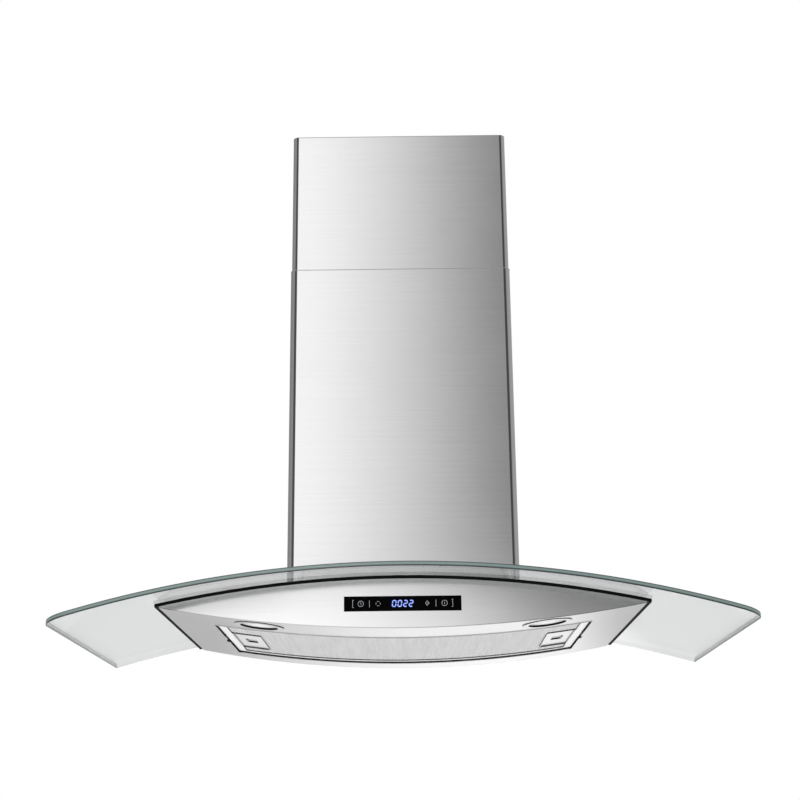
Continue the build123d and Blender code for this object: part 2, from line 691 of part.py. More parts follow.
for side, sign in SIDES:
    latch_plane = keel_plane(FILTER_LOW, sign * latch_x, LATCH_MID)
    tray_plan = block_face(POCKET_WIDTH, POCKET_LENGTH, sign * latch_x, LATCH_MID)
    hollow_plan = block_face(
        POCKET_WIDTH - 2 * POCKET_SHEET,
        POCKET_LENGTH - 2 * POCKET_SHEET,
        sign * latch_x,
        LATCH_MID,
    )

    with BuildPart() as latch_plate:
        add(arched_plate(tray_plan, keel(FILTER_LOW), keel(FILTER_LOW - POCKET_RECESS - POCKET_SHEET)))
        add(
            arched_plate(hollow_plan, keel(FILTER_LOW + POCKET_SHEET), keel(FILTER_LOW - POCKET_RECESS)),
            mode=Mode.SUBTRACT,
        )
        with BuildSketch(latch_plane):
            Rectangle(WINDOW_WIDTH, WINDOW_LENGTH)
        extrude(amount=FILTER_THICKNESS, both=True, mode=Mode.SUBTRACT)
    save(latch_plate.part, f"latch_plate_{side}")

    with BuildPart() as latch_slider:
        with BuildSketch(latch_plane.offset(slider_low)):
            with Locations((sign * (bolt_tip + slider_inner) / 2, 0)):
                Rectangle(bolt_tip - slider_inner, SLIDER_WIDTH)
        extrude(amount=SLIDER_THICKNESS)
        with BuildSketch(latch_plane.offset(slider_low + SLIDER_THICKNESS / 2)):
            with Locations((sign * (tab_place + TAB_THICKNESS / 2), 0)):
                Rectangle(TAB_THICKNESS, SLIDER_WIDTH)
        extrude(amount=-(slider_low + SLIDER_THICKNESS / 2 - RUN_GAP))
    save(latch_slider.part, f"latch_slider_{side}")

    with BuildPart() as latch_spring:
        bow_tip = slider_inner - FIT_GAP - SPRING_STRIP
        bow_foot = -POCKET_WIDTH / 2 + POCKET_SHEET + SPRING_STRIP
        bow_half = SLIDER_WIDTH / 2 - SPRING_STRIP
        with BuildSketch(latch_plane.offset(POCKET_RECESS + POCKET_SHEET + FIT_GAP)):
            with BuildLine():
                outer_bow = ThreePointArc(
                    (sign * bow_foot, -bow_half),
                    (sign * (bow_tip + SPRING_STRIP), 0),
                    (sign * bow_foot, bow_half),
                )
                inner_bow = ThreePointArc(
                    (sign * (bow_foot - SPRING_STRIP), -bow_half),
                    (sign * bow_tip, 0),
                    (sign * (bow_foot - SPRING_STRIP), bow_half),
                )
                Line(outer_bow @ 0, inner_bow @ 0)
                Line(outer_bow @ 1, inner_bow @ 1)
            make_face()
        extrude(amount=SPRING_HEIGHT)
    save(latch_spring.part, f"latch_spring_{side}")

# Blower box: sheet box that stands on the deck, open below, with an outlet hole and two wall holes
box_seat = DECK_HIGH + FIT_GAP
box_middle = BOX_DEPTH / 2
with BuildSketch() as box_flange_plan:
    with Locations((0, -(BOX_DEPTH + BOX_FLANGE) / 2)):
        Rectangle(2 * box_flange_half, BOX_DEPTH + BOX_FLANGE)
    with Locations((0, -box_middle)):
        Rectangle(2 * BOX_HALF - BOX_SHEET, BOX_DEPTH - BOX_SHEET, mode=Mode.SUBTRACT)

with BuildPart() as motor_box:
    extrude(frame_face(2 * BOX_HALF, BOX_DEPTH, BOX_SHEET, box_middle), amount=BOX_TOP)
    extrude(
        band(crown(DECK_LOW - BODY_HEIGHT), crown(box_seat), 2 * BOX_HALF),
        amount=REACH,
        both=True,
        mode=Mode.SUBTRACT,
    )
    add(arched_plate(box_flange_plan.sketch, crown(box_seat), crown(box_seat + BOX_SHEET)))
    with BuildSketch(Plane.XY.offset(BOX_TOP)):
        with Locations((0, -box_middle)):
            Rectangle(2 * BOX_HALF, BOX_DEPTH)
        with Locations((0, COLLAR_Y)):
            Circle(COLLAR_RADIUS - COLLAR_WALL, mode=Mode.SUBTRACT)
    extrude(amount=-BOX_SHEET)
    with BuildSketch(Plane.XZ):
        with Locations((-HANG_HOLE_X, BOX_TOP - HANG_DROP), (HANG_HOLE_X, BOX_TOP - HANG_DROP)):
            Circle(HANG_HOLE)
    extrude(amount=BOX_SHEET, mode=Mode.SUBTRACT)
save(motor_box.part, "motor_box")

# Scroll housing: a bent wrapper between two side plates with round inlets
outlet_top = BOX_TOP - BOX_SHEET - FIT_GAP
with BuildSketch(Plane.YZ) as scroll_inside:
    add(scroll_face())

with BuildSketch(Plane.YZ) as scroll_outside:
    add(scroll_face())
    offset(amount=BLOWER_SHEET, kind=Kind.INTERSECTION)
    with Locations((COLLAR_Y, outlet_top)):
        Rectangle(2 * OUTLET_WIDTH, 2 * BLOWER_SHEET, align=(Align.CENTER, Align.MIN), mode=Mode.SUBTRACT)

with BuildPart() as blower_wrapper:
    extrude(scroll_outside.sketch, amount=BLOWER_HALF, both=True)
    extrude(scroll_inside.sketch, amount=BLOWER_HALF, both=True, mode=Mode.SUBTRACT)
save(blower_wrapper.part, "blower_wrapper")

shaft_axis = (SCROLL_Y, SCROLL_Z)
for side, sign in SIDES:
    with BuildPart() as blower_side:
        with BuildSketch(Plane.YZ.offset(sign * BLOWER_HALF)):
            add(scroll_outside.sketch_local)
            with Locations(shaft_axis):
                Circle(INLET_RADIUS, mode=Mode.SUBTRACT)
        extrude(amount=sign * BLOWER_SHEET)
    save(blower_side.part, f"blower_side_{side}")

    # Inlet guard with the boss that carries a charcoal filter; the left one also carries the motor
    hub_radius = MOTOR_RADIUS if side == "left" else CARBON_HUB
    with BuildPart() as inlet_grille:
        with BuildSketch(Plane.YZ.offset(sign * SIDE_X)):
            with Locations(shaft_axis):
                Circle(GRILLE_RADIUS)
                Circle(INLET_RADIUS, mode=Mode.SUBTRACT)
                Circle(hub_radius)
                with PolarLocations(0, GRILLE_SPOKES, angular_range=180):
                    Rectangle(2 * INLET_RADIUS + GRILLE_SPOKE, GRILLE_SPOKE)
        extrude(amount=sign * GRILLE_THICKNESS)
        with BuildSketch(Plane.YZ.offset(sign * (SIDE_X + GRILLE_THICKNESS))):
            with Locations(shaft_axis):
                Circle(BOSS_RADIUS)
        extrude(amount=sign * (CARBON_STANDOFF + CARBON_THICKNESS - CARBON_GRID))
    save(inlet_grille.part, f"inlet_grille_{side}")

    # Charcoal filter: round cage with spoked faces, and the charcoal inside it
    with BuildPart() as carbon_case:
        for face_x in (CARBON_X, CARBON_X + CARBON_THICKNESS - CARBON_GRID):
            with BuildSketch(Plane.YZ.offset(sign * face_x)):
                with Locations(shaft_axis):
                    Circle(CARBON_RING + CARBON_BAR / 2)
                    Circle(CARBON_RING - CARBON_BAR / 2, mode=Mode.SUBTRACT)
                    with PolarLocations(0, CARBON_BARS, angular_range=180):
                        Rectangle(2 * CARBON_RADIUS - CARBON_RIM, CARBON_BAR)
            extrude(amount=sign * CARBON_GRID)
        with BuildSketch(Plane.YZ.offset(sign * CARBON_X)):
            with Locations(shaft_axis):
                Circle(CARBON_RADIUS)
                Circle(CARBON_RADIUS - CARBON_RIM, mode=Mode.SUBTRACT)
                Circle(CARBON_HUB)
        extrude(amount=sign * CARBON_THICKNESS)
        with BuildSketch(Plane.YZ.offset(sign * CARBON_X)):
            with Locations(shaft_axis):
                Circle(BOSS_RADIUS + BORE_GAP)
        extrude(amount=sign * CARBON_THICKNESS, mode=Mode.SUBTRACT)
    save(carbon_case.part, f"carbon_case_{side}")

    with BuildPart() as carbon_media:
        with BuildSketch(Plane.YZ.offset(sign * (CARBON_X + CARBON_GRID + FIT_GAP))):
            with Locations(shaft_axis):
                Circle(CARBON_RADIUS - CARBON_RIM - FIT_GAP)
                Circle(CARBON_HUB + FIT_GAP, mode=Mode.SUBTRACT)
        extrude(amount=sign * (CARBON_THICKNESS - 2 * (CARBON_GRID + FIT_GAP)))
    save(carbon_media.part, f"carbon_media_{side}")

# Motor inside the left half of the impeller, carried by the left inlet guard
motor_back = -SIDE_X
motor_front = motor_back + MOTOR_LENGTH
cap_front = motor_front + END_CAP_LENGTH
shaft_start = HUB_FRONT + NUT_HEIGHT - SHAFT_LENGTH
with BuildPart() as motor_can:
    with BuildSketch(Plane.YZ.offset(motor_back)):
        with Locations(shaft_axis):
            Circle(MOTOR_RADIUS)
    extrude(amount=MOTOR_LENGTH)
    fillet(motor_can.edges().filter_by(GeomType.CIRCLE).sort_by(Axis.X)[-1], MOTOR_RADIUS / 10)
    with BuildSketch(Plane.YZ.offset(motor_front)):
        with Locations(shaft_axis):
            Circle(SHAFT_RADIUS + BORE_GAP)
    extrude(amount=-(motor_front - shaft_start + RUN_GAP), mode=Mode.SUBTRACT)
save(motor_can.part, "motor_can")

with BuildPart() as motor_end_cap:
    with BuildSketch(Plane.YZ.offset(motor_front)):
        with Locations(shaft_axis):
            Circle(END_CAP_RADIUS)
            Circle(SHAFT_RADIUS + BORE_GAP, mode=Mode.SUBTRACT)
    extrude(amount=END_CAP_LENGTH)
save(motor_end_cap.part, "motor_end_cap")

with BuildPart() as motor_shaft:
    with BuildSketch(Plane.YZ.offset(shaft_start)):
        with Locations(shaft_axis):
            Circle(SHAFT_RADIUS)
    extrude(amount=SHAFT_LENGTH)
save(motor_shaft.part, "motor_shaft")

blade_middle = IMPELLER_RADIUS - BLADE_RING / 2
with BuildPart() as impeller:
    with BuildSketch(Plane.YZ):
        with Locations(shaft_axis):
            with PolarLocations(blade_middle, BLADE_COUNT):
                Rectangle(BLADE_LENGTH, BLADE_THICKNESS, rotation=BLADE_ANGLE)
    extrude(amount=IMPELLER_HALF, both=True)
    for ring_x in (-IMPELLER_HALF, IMPELLER_HALF - RING_THICKNESS):
        with BuildSketch(Plane.YZ.offset(ring_x)):
            with Locations(shaft_axis):
                Circle(IMPELLER_RADIUS)
                Circle(IMPELLER_RADIUS - BLADE_RING, mode=Mode.SUBTRACT)
        extrude(amount=RING_THICKNESS)
    with BuildSketch(Plane.YZ.offset(-WEB_THICKNESS / 2)):
        with Locations(shaft_axis):
            Circle(IMPELLER_RADIUS)
    extrude(amount=WEB_THICKNESS)
    with BuildSketch(Plane.YZ.offset(-HUB_BACK)):
        with Locations(shaft_axis):
            Circle(HUB_RADIUS)
    extrude(amount=HUB_BACK + HUB_FRONT)
    with BuildSketch(Plane.YZ.offset(-HUB_BACK)):
        with Locations(shaft_axis):
            Circle(SHAFT_RADIUS + BORE_GAP)
    extrude(amount=HUB_BACK + HUB_FRONT, mode=Mode.SUBTRACT)
save(impeller.part, "impeller")

with BuildPart() as shaft_nut:
    with BuildSketch(Plane.YZ.offset(HUB_FRONT)):
        with Locations(shaft_axis):
            RegularPolygon(NUT_RADIUS, 6)
            Circle(SHAFT_RADIUS + BORE_GAP, mode=Mode.SUBTRACT)
    extrude(amount=NUT_HEIGHT)
save(shaft_nut.part, "shaft_nut")

# Outlet collar on top of the box, with a ledge on which the two flaps close
collar_bore = COLLAR_RADIUS - COLLAR_WALL
flange_half = COLLAR_RADIUS + COLLAR_FLANGE
collar_foot = BOX_TOP + FIT_GAP
flap_z = collar_foot + FLAP_RISE
screw_place = flange_half - COLLAR_SCREW_INSET
with BuildPart() as duct_collar:
    with BuildSketch(Plane.XY.offset(collar_foot)):
        with Locations((0, COLLAR_Y)):
            RectangleRounded(2 * flange_half, 2 * flange_half, COLLAR_SCREW_INSET)
            Circle(collar_bore, mode=Mode.SUBTRACT)
            with GridLocations(2 * screw_place, 2 * screw_place, 2, 2):
                Circle(SMALL_SCREW + HOLE_GAP, mode=Mode.SUBTRACT)
    extrude(amount=COLLAR_FLANGE_SHEET)
    with BuildSketch(Plane.XY.offset(collar_foot)):
        with Locations((0, COLLAR_Y)):
            Circle(COLLAR_RADIUS)
            Circle(collar_bore, mode=Mode.SUBTRACT)
    extrude(amount=COLLAR_HEIGHT)
    with BuildSketch(Plane.XY.offset(flap_z - FLAP_SHEET / 2 - FIT_GAP)):
        with Locations((0, COLLAR_Y)):
            Circle(collar_bore)
            Circle(collar_bore - STOP_LEDGE, mode=Mode.SUBTRACT)
            Rectangle(
                2 * collar_bore,
                2 * (FLAP_PIN_OFFSET + FLAP_BARREL + RUN_GAP),
                mode=Mode.SUBTRACT,
            )
    extrude(amount=-STOP_HEIGHT)
    with BuildSketch(Plane.YZ):
        with Locations((COLLAR_Y - FLAP_PIN_OFFSET, flap_z), (COLLAR_Y + FLAP_PIN_OFFSET, flap_z)):
            Circle(FLAP_PIN_RADIUS + FIT_GAP / 4)
    extrude(amount=COLLAR_RADIUS, both=True, mode=Mode.SUBTRACT)
save(duct_collar.part, "duct_collar")

with BuildPart() as collar_screws:
    with BuildSketch(Plane.XY.offset(collar_foot + COLLAR_FLANGE_SHEET)):
        with Locations((0, COLLAR_Y)):
            with GridLocations(2 * screw_place, 2 * screw_place, 2, 2):
                Circle(SMALL_HEAD)
    extrude(amount=SMALL_HEAD_HEIGHT)
    with BuildSketch(Plane.XY.offset(collar_foot + COLLAR_FLANGE_SHEET)):
        with Locations((0, COLLAR_Y)):
            with GridLocations(2 * screw_place, 2 * screw_place, 2, 2):
                Circle(SMALL_SCREW)
    extrude(amount=-COLLAR_FLANGE_SHEET)
save(collar_screws.part, "collar_screws")

flap_radius = collar_bore - FLAP_GAP
for flap, flap_sign in (("front", -1), ("rear", 1)):
    pin_y = COLLAR_Y + flap_sign * FLAP_PIN_OFFSET
    pin_half = sqrt(COLLAR_RADIUS**2 - FLAP_PIN_OFFSET**2) - FIT_GAP
    barrel_half = sqrt(collar_bore**2 - (FLAP_PIN_OFFSET + FLAP_BARREL) ** 2) - RUN_GAP

    with BuildPart() as damper_pin:
        with BuildSketch(Plane.YZ):
            with Locations((pin_y, flap_z)):
                Circle(FLAP_PIN_RADIUS)
        extrude(amount=pin_half, both=True)
    save(damper_pin.part, f"damper_pin_{flap}")

    with BuildPart() as damper_flap:
        with BuildSketch(Plane.XY.offset(flap_z)):
            with Locations((0, COLLAR_Y)):
                Circle(flap_radius)
                with Locations((0, flap_sign * FLAP_PIN_OFFSET)):
                    Rectangle(
                        2 * flap_radius,
                        2 * flap_radius,
                        align=(Align.CENTER, Align.MIN if flap_sign > 0 else Align.MAX),
                        mode=Mode.INTERSECT,
                    )
        extrude(amount=FLAP_SHEET / 2, both=True)
        with BuildSketch(Plane.YZ):
            with Locations((pin_y, flap_z)):
                Circle(FLAP_BARREL)
        extrude(amount=barrel_half, both=True)
        with BuildSketch(Plane.YZ):
            with Locations((pin_y, flap_z)):
                Circle(FLAP_PIN_RADIUS + BORE_GAP)
        extrude(amount=COLLAR_RADIUS, both=True, mode=Mode.SUBTRACT)
    save(damper_flap.part, f"damper_flap_{flap}")

# Junction box on the front of the blower box, with its cover and the mains cable's gland
junction_top = BOX_TOP - JUNCTION_DROP
junction_z = junction_top - JUNCTION_HEIGHT / 2
junction_plane = Plane.XZ.offset(BOX_DEPTH + FIT_GAP)
with BuildPart() as junction_box:
    with BuildSketch(junction_plane):
        with Locations((0, junction_z)):
            Rectangle(JUNCTION_WIDTH, JUNCTION_HEIGHT)
    extrude(amount=JUNCTION_DEPTH)
    with BuildSketch(junction_plane.offset(JUNCTION_WALL)):
        with Locations((0, junction_z)):
            Rectangle(JUNCTION_WIDTH - 2 * JUNCTION_WALL, JUNCTION_HEIGHT - 2 * JUNCTION_WALL)
    extrude(amount=JUNCTION_DEPTH, mode=Mode.SUBTRACT)
    with BuildSketch(Plane.XY.offset(junction_top)):
        with Locations((0, -(BOX_DEPTH + FIT_GAP + JUNCTION_DEPTH / 2))):
            Circle(GLAND_BORE + JUNCTION_WALL + HOLE_GAP)
    extrude(amount=-JUNCTION_WALL, mode=Mode.SUBTRACT)
save(junction_box.part, "junction_box")

with BuildPart() as junction_cover:
    with BuildSketch(junction_plane.offset(JUNCTION_DEPTH)):
        with Locations((0, junction_z)):
            RectangleRounded(JUNCTION_WIDTH, JUNCTION_HEIGHT, JUNCTION_WALL)
    extrude(amount=JUNCTION_WALL)
save(junction_cover.part, "junction_cover")

with BuildPart() as cable_gland:
    with BuildSketch(Plane.XY.offset(junction_top)):
        with Locations((0, -(BOX_DEPTH + FIT_GAP + JUNCTION_DEPTH / 2))):
            RegularPolygon(GLAND_RADIUS, 6)
    extrude(amount=GLAND_HEIGHT / 2)
    with BuildSketch(Plane.XY.offset(junction_top - 2 * JUNCTION_WALL)):
        with Locations((0, -(BOX_DEPTH + FIT_GAP + JUNCTION_DEPTH / 2))):
            Circle(GLAND_BORE + JUNCTION_WALL)
    extrude(amount=GLAND_HEIGHT + 2 * JUNCTION_WALL)
    with BuildSketch(Plane.XY.offset(junction_top - 2 * JUNCTION_WALL)):
        with Locations((0, -(BOX_DEPTH + FIT_GAP + JUNCTION_DEPTH / 2))):
            Circle(GLAND_BORE)
    extrude(amount=GLAND_HEIGHT + 2 * JUNCTION_WALL, mode=Mode.SUBTRACT)
save(cable_gland.part, "cable_gland")

# Run capacitor, held by a band on the inside of the box's front
capacitor_y = -(BOX_DEPTH - BOX_SHEET) + CAPACITOR_STANDOFF + CAPACITOR_RADIUS
capacitor_top = BOX_TOP - BOX_SHEET - CAPACITOR_DROP
band_z = capacitor_top - CAPACITOR_LENGTH / 2
band_inner = CAPACITOR_RADIUS + BORE_GAP
with BuildPart() as run_capacitor:
    with BuildSketch(Plane.XY.offset(capacitor_top)):
        with Locations((CAPACITOR_X, capacitor_y)):
            Circle(CAPACITOR_RADIUS)
    extrude(amount=-CAPACITOR_LENGTH)
    fillet(run_capacitor.edges().filter_by(GeomType.CIRCLE), CAPACITOR_RADIUS / 10)
save(run_capacitor.part, "run_capacitor")

with BuildPart() as capacitor_clip:
    with BuildSketch(Plane.XY.offset(band_z - CLIP_BAND / 2)):
        with Locations((CAPACITOR_X, capacitor_y)):
            Circle(band_inner + CLIP_BAND_SHEET)
            with Locations((0, -CAPACITOR_RADIUS - CAPACITOR_STANDOFF)):
                Rectangle(CLIP_BAND, CAPACITOR_RADIUS, align=(Align.CENTER, Align.MIN))
            Circle(band_inner, mode=Mode.SUBTRACT)
    extrude(amount=CLIP_BAND)
save(capacitor_clip.part, "capacitor_clip")

# Chimney covers: the lower one stands on the glass, the upper one slides inside it
with BuildPart() as chimney_lower:
    extrude(chimney_face(0), amount=LOWER_TOP)
    extrude(
        band(crown(DECK_LOW - BODY_HEIGHT), crown(GLASS_HIGH + FIT_GAP), CHIMNEY_WIDTH),
        amount=REACH,
        both=True,
        mode=Mode.SUBTRACT,
    )
    clip_bottom = SEAT_Z + CLIP_RISE
    clip_screw_z = clip_bottom + CLIP_HEIGHT / 2
    with BuildSketch(Plane.YZ):
        with Locations((-CLIP_DEPTH, clip_screw_z)):
            Circle(SMALL_SCREW + HOLE_GAP)
    extrude(amount=CHIMNEY_WIDTH, both=True, mode=Mode.SUBTRACT)
save(chimney_lower.part, "chimney_lower")

bracket_top = UPPER_TOP - BRACKET_DROP
bracket_screw_z = bracket_top - BRACKET_HEIGHT / 2
with BuildPart() as chimney_upper:
    with BuildSketch(Plane.XY.offset(UPPER_TOP)):
        add(chimney_face(UPPER_INSET))
    extrude(amount=-UPPER_LENGTH)
    with BuildSketch(Plane.YZ):
        with Locations((-CHIMNEY_DEPTH / 2, UPPER_TOP - VENT_DROP)):
            with GridLocations(VENT_LENGTH, VENT_PITCH, 1, VENT_COUNT):
                SlotOverall(VENT_LENGTH, VENT_WIDTH)
        with Locations((-BRACKET_SCREW_DEPTH, bracket_screw_z)):
            Circle(SMALL_SCREW + HOLE_GAP)
    extrude(amount=CHIMNEY_WIDTH, both=True, mode=Mode.SUBTRACT)
save(chimney_upper.part, "chimney_upper")

# Wall bracket of the upper cover: flat on the wall, stepped round the cover's returns, with two ears
ear_x = CHIMNEY_WIDTH / 2 - UPPER_INSET - SHEET - FIT_GAP
step_x = CHIMNEY_WIDTH / 2 - UPPER_INSET - CHIMNEY_RETURN - 2 * RUN_GAP
shelf_depth = UPPER_INSET + SHEET + FIT_GAP + BRACKET_SHEET
with BuildPart() as upper_bracket:
    with BuildSketch(Plane.XY.offset(bracket_top)) as bracket_plan:
        Rectangle(2 * step_x, BRACKET_SHEET, align=(Align.CENTER, Align.MAX))
        for side, sign in SIDES:
            inward = Align.MAX if sign > 0 else Align.MIN
            with Locations((sign * step_x, 0)):
                Rectangle(BRACKET_SHEET, shelf_depth, align=(inward, Align.MAX))
            with Locations((sign * ear_x, -shelf_depth)):
                Rectangle(ear_x - step_x + BRACKET_SHEET, BRACKET_SHEET, align=(inward, Align.MIN))
            with Locations((sign * ear_x, -BRACKET_EAR)):
                Rectangle(BRACKET_SHEET, BRACKET_EAR - shelf_depth + BRACKET_SHEET, align=(inward, Align.MIN))
        ends = bracket_plan.vertices().group_by(Axis.X)
        fillet([ends[0].sort_by(Axis.Y)[-1], ends[-1].sort_by(Axis.Y)[-1]], CHIMNEY_BACK_CORNER - SHEET)
    extrude(amount=-BRACKET_HEIGHT)
    with BuildSketch(Plane.XZ):
        with Locations((-BRACKET_HOLE_X, bracket_screw_z), (BRACKET_HOLE_X, bracket_screw_z)):
            Circle(BRACKET_HOLE)
    extrude(amount=BRACKET_SHEET, mode=Mode.SUBTRACT)
    with BuildSketch(Plane.YZ):
        with Locations((-BRACKET_SCREW_DEPTH, bracket_screw_z)):
            Circle(SMALL_SCREW + HOLE_GAP)
    extrude(amount=CHIMNEY_WIDTH, both=True, mode=Mode.SUBTRACT)
save(upper_bracket.part, "upper_bracket")

with BuildPart() as upper_bracket_screws:
    for side, sign in SIDES:
        head_plane = Plane.YZ.offset(sign * (CHIMNEY_WIDTH / 2 - UPPER_INSET))
        with BuildSketch(head_plane):
            with Locations((-BRACKET_SCREW_DEPTH, bracket_screw_z)):
                Circle(SMALL_HEAD)
        extrude(amount=sign * SMALL_HEAD_HEIGHT)
        with BuildSketch(head_plane):
            with Locations((-BRACKET_SCREW_DEPTH, bracket_screw_z)):
                Circle(SMALL_SCREW)
        extrude(amount=-sign * (SHEET + FIT_GAP + BRACKET_SHEET + SMALL_SCREW_END))
save(upper_bracket_screws.part, "upper_bracket_screws")

# Clips that join the lower cover to the sides of the blower box
clip_inner = BOX_HALF + FIT_GAP
clip_outer = CHIMNEY_WIDTH / 2 - SHEET - FIT_GAP
for side, sign in SIDES:
    inward = Align.MAX if sign > 0 else Align.MIN
    outward = Align.MIN if sign > 0 else Align.MAX
    with BuildPart() as chimney_clip:
        with BuildSketch(Plane.XZ.offset(CLIP_DEPTH - CLIP_LENGTH / 2)):
            with Locations((sign * clip_inner, clip_bottom)):
                Rectangle(BRACKET_SHEET, CLIP_HEIGHT, align=(outward, Align.MIN))
                Rectangle(clip_outer - clip_inner, BRACKET_SHEET, align=(outward, Align.MIN))
            with Locations((sign * clip_outer, clip_bottom)):
                Rectangle(BRACKET_SHEET, CLIP_HEIGHT, align=(inward, Align.MIN))
        extrude(amount=CLIP_LENGTH)
        with BuildSketch(Plane.YZ.offset(sign * clip_outer)):
            with Locations((-CLIP_DEPTH, clip_screw_z)):
                Circle(SMALL_SCREW + HOLE_GAP)
        extrude(amount=-sign * BRACKET_SHEET, mode=Mode.SUBTRACT)
    save(chimney_clip.part, f"chimney_clip_{side}")

with BuildPart() as chimney_clip_screws:
    for side, sign in SIDES:
        head_plane = Plane.YZ.offset(sign * CHIMNEY_WIDTH / 2)
        with BuildSketch(head_plane):
            with Locations((-CLIP_DEPTH, clip_screw_z)):
                Circle(SMALL_HEAD)
        extrude(amount=sign * SMALL_HEAD_HEIGHT)
        with BuildSketch(head_plane):
            with Locations((-CLIP_DEPTH, clip_screw_z)):
                Circle(SMALL_SCREW)
        extrude(amount=-sign * (SHEET + FIT_GAP + BRACKET_SHEET + SMALL_SCREW_END))
save(chimney_clip_screws.part, "chimney_clip_screws")
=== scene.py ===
"""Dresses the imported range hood: finishes, mesh and printed detail, studio light and camera."""
import json
import logging
import math
from dataclasses import dataclass
from enum import Enum
from typing import Any, Mapping, Optional, Sequence, Union

import bpy
import numpy as np
from mathutils import Matrix, Vector


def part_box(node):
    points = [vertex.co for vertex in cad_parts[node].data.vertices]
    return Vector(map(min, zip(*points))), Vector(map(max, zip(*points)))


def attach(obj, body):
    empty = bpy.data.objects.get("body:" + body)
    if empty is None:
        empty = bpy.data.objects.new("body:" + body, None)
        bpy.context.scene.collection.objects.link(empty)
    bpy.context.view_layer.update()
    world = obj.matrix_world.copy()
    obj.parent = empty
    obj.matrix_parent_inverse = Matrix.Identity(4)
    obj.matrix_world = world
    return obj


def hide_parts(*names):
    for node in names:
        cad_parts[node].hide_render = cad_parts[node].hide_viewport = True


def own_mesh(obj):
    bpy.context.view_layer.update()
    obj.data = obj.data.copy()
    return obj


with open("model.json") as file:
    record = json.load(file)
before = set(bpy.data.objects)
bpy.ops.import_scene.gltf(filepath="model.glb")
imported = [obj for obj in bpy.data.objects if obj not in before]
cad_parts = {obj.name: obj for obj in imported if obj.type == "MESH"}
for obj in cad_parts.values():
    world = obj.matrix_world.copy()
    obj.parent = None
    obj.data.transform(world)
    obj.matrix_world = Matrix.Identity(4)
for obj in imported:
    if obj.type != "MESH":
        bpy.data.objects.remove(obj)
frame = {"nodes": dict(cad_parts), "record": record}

Array = np.ndarray
Colour = tuple[float, float, float]
Line = tuple[Array, Any, bool]
Number = Union[int, float]
Span = tuple[float, float]

MM = 0.001
SIDES = (("left", -1), ("right", 1))
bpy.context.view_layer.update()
NODE_SLOT = {row["node"]: row["material_slot"] for row in frame["record"]["subparts"]}
NODE_BODY = {node: body for body, nodes in frame["record"]["behaviour"]["bodies"].items() for node in nodes}
log = logging.getLogger("range_hood")

# Shader arithmetic

WHITE = (1.0, 1.0, 1.0, 1.0)
NOISE_MIDDLE: Span = (0.3, 0.7)
LEVEL_LEAN: Span = (0.3, 0.8)


class Shade:
    """One output socket of a finish, which takes part in arithmetic on values."""

    def __init__(self, bench: "Bench", socket: bpy.types.NodeSocket) -> None:
        """Wrap a socket of the bench's node tree."""
        self.bench = bench
        self.socket = socket

    def _math(self, operation: str, first: Any, second: Any) -> "Shade":
        """Add the Math node of one operation."""
        return self.bench.node("ShaderNodeMath", {"operation": operation}, {0: first, 1: second})

    def __add__(self, other: Union["Shade", Number]) -> "Shade":
        """Sum of two values."""
        return self._math("ADD", self, other)

    def __radd__(self, other: Number) -> "Shade":
        """Sum with a number in front."""
        return self._math("ADD", other, self)

    def __sub__(self, other: Union["Shade", Number]) -> "Shade":
        """Difference of two values."""
        return self._math("SUBTRACT", self, other)

    def __rsub__(self, other: Number) -> "Shade":
        """Difference from a number in front."""
        return self._math("SUBTRACT", other, self)

    def __mul__(self, other: Union["Shade", Number]) -> "Shade":
        """Product of two values."""
        return self._math("MULTIPLY", self, other)

    def __pow__(self, other: Number) -> "Shade":
        """Value raised to a power."""
        return self._math("POWER", self, other)

    def most(self, other: "Shade") -> "Shade":
        """Larger of two values."""
        return self._math("MAXIMUM", self, other)


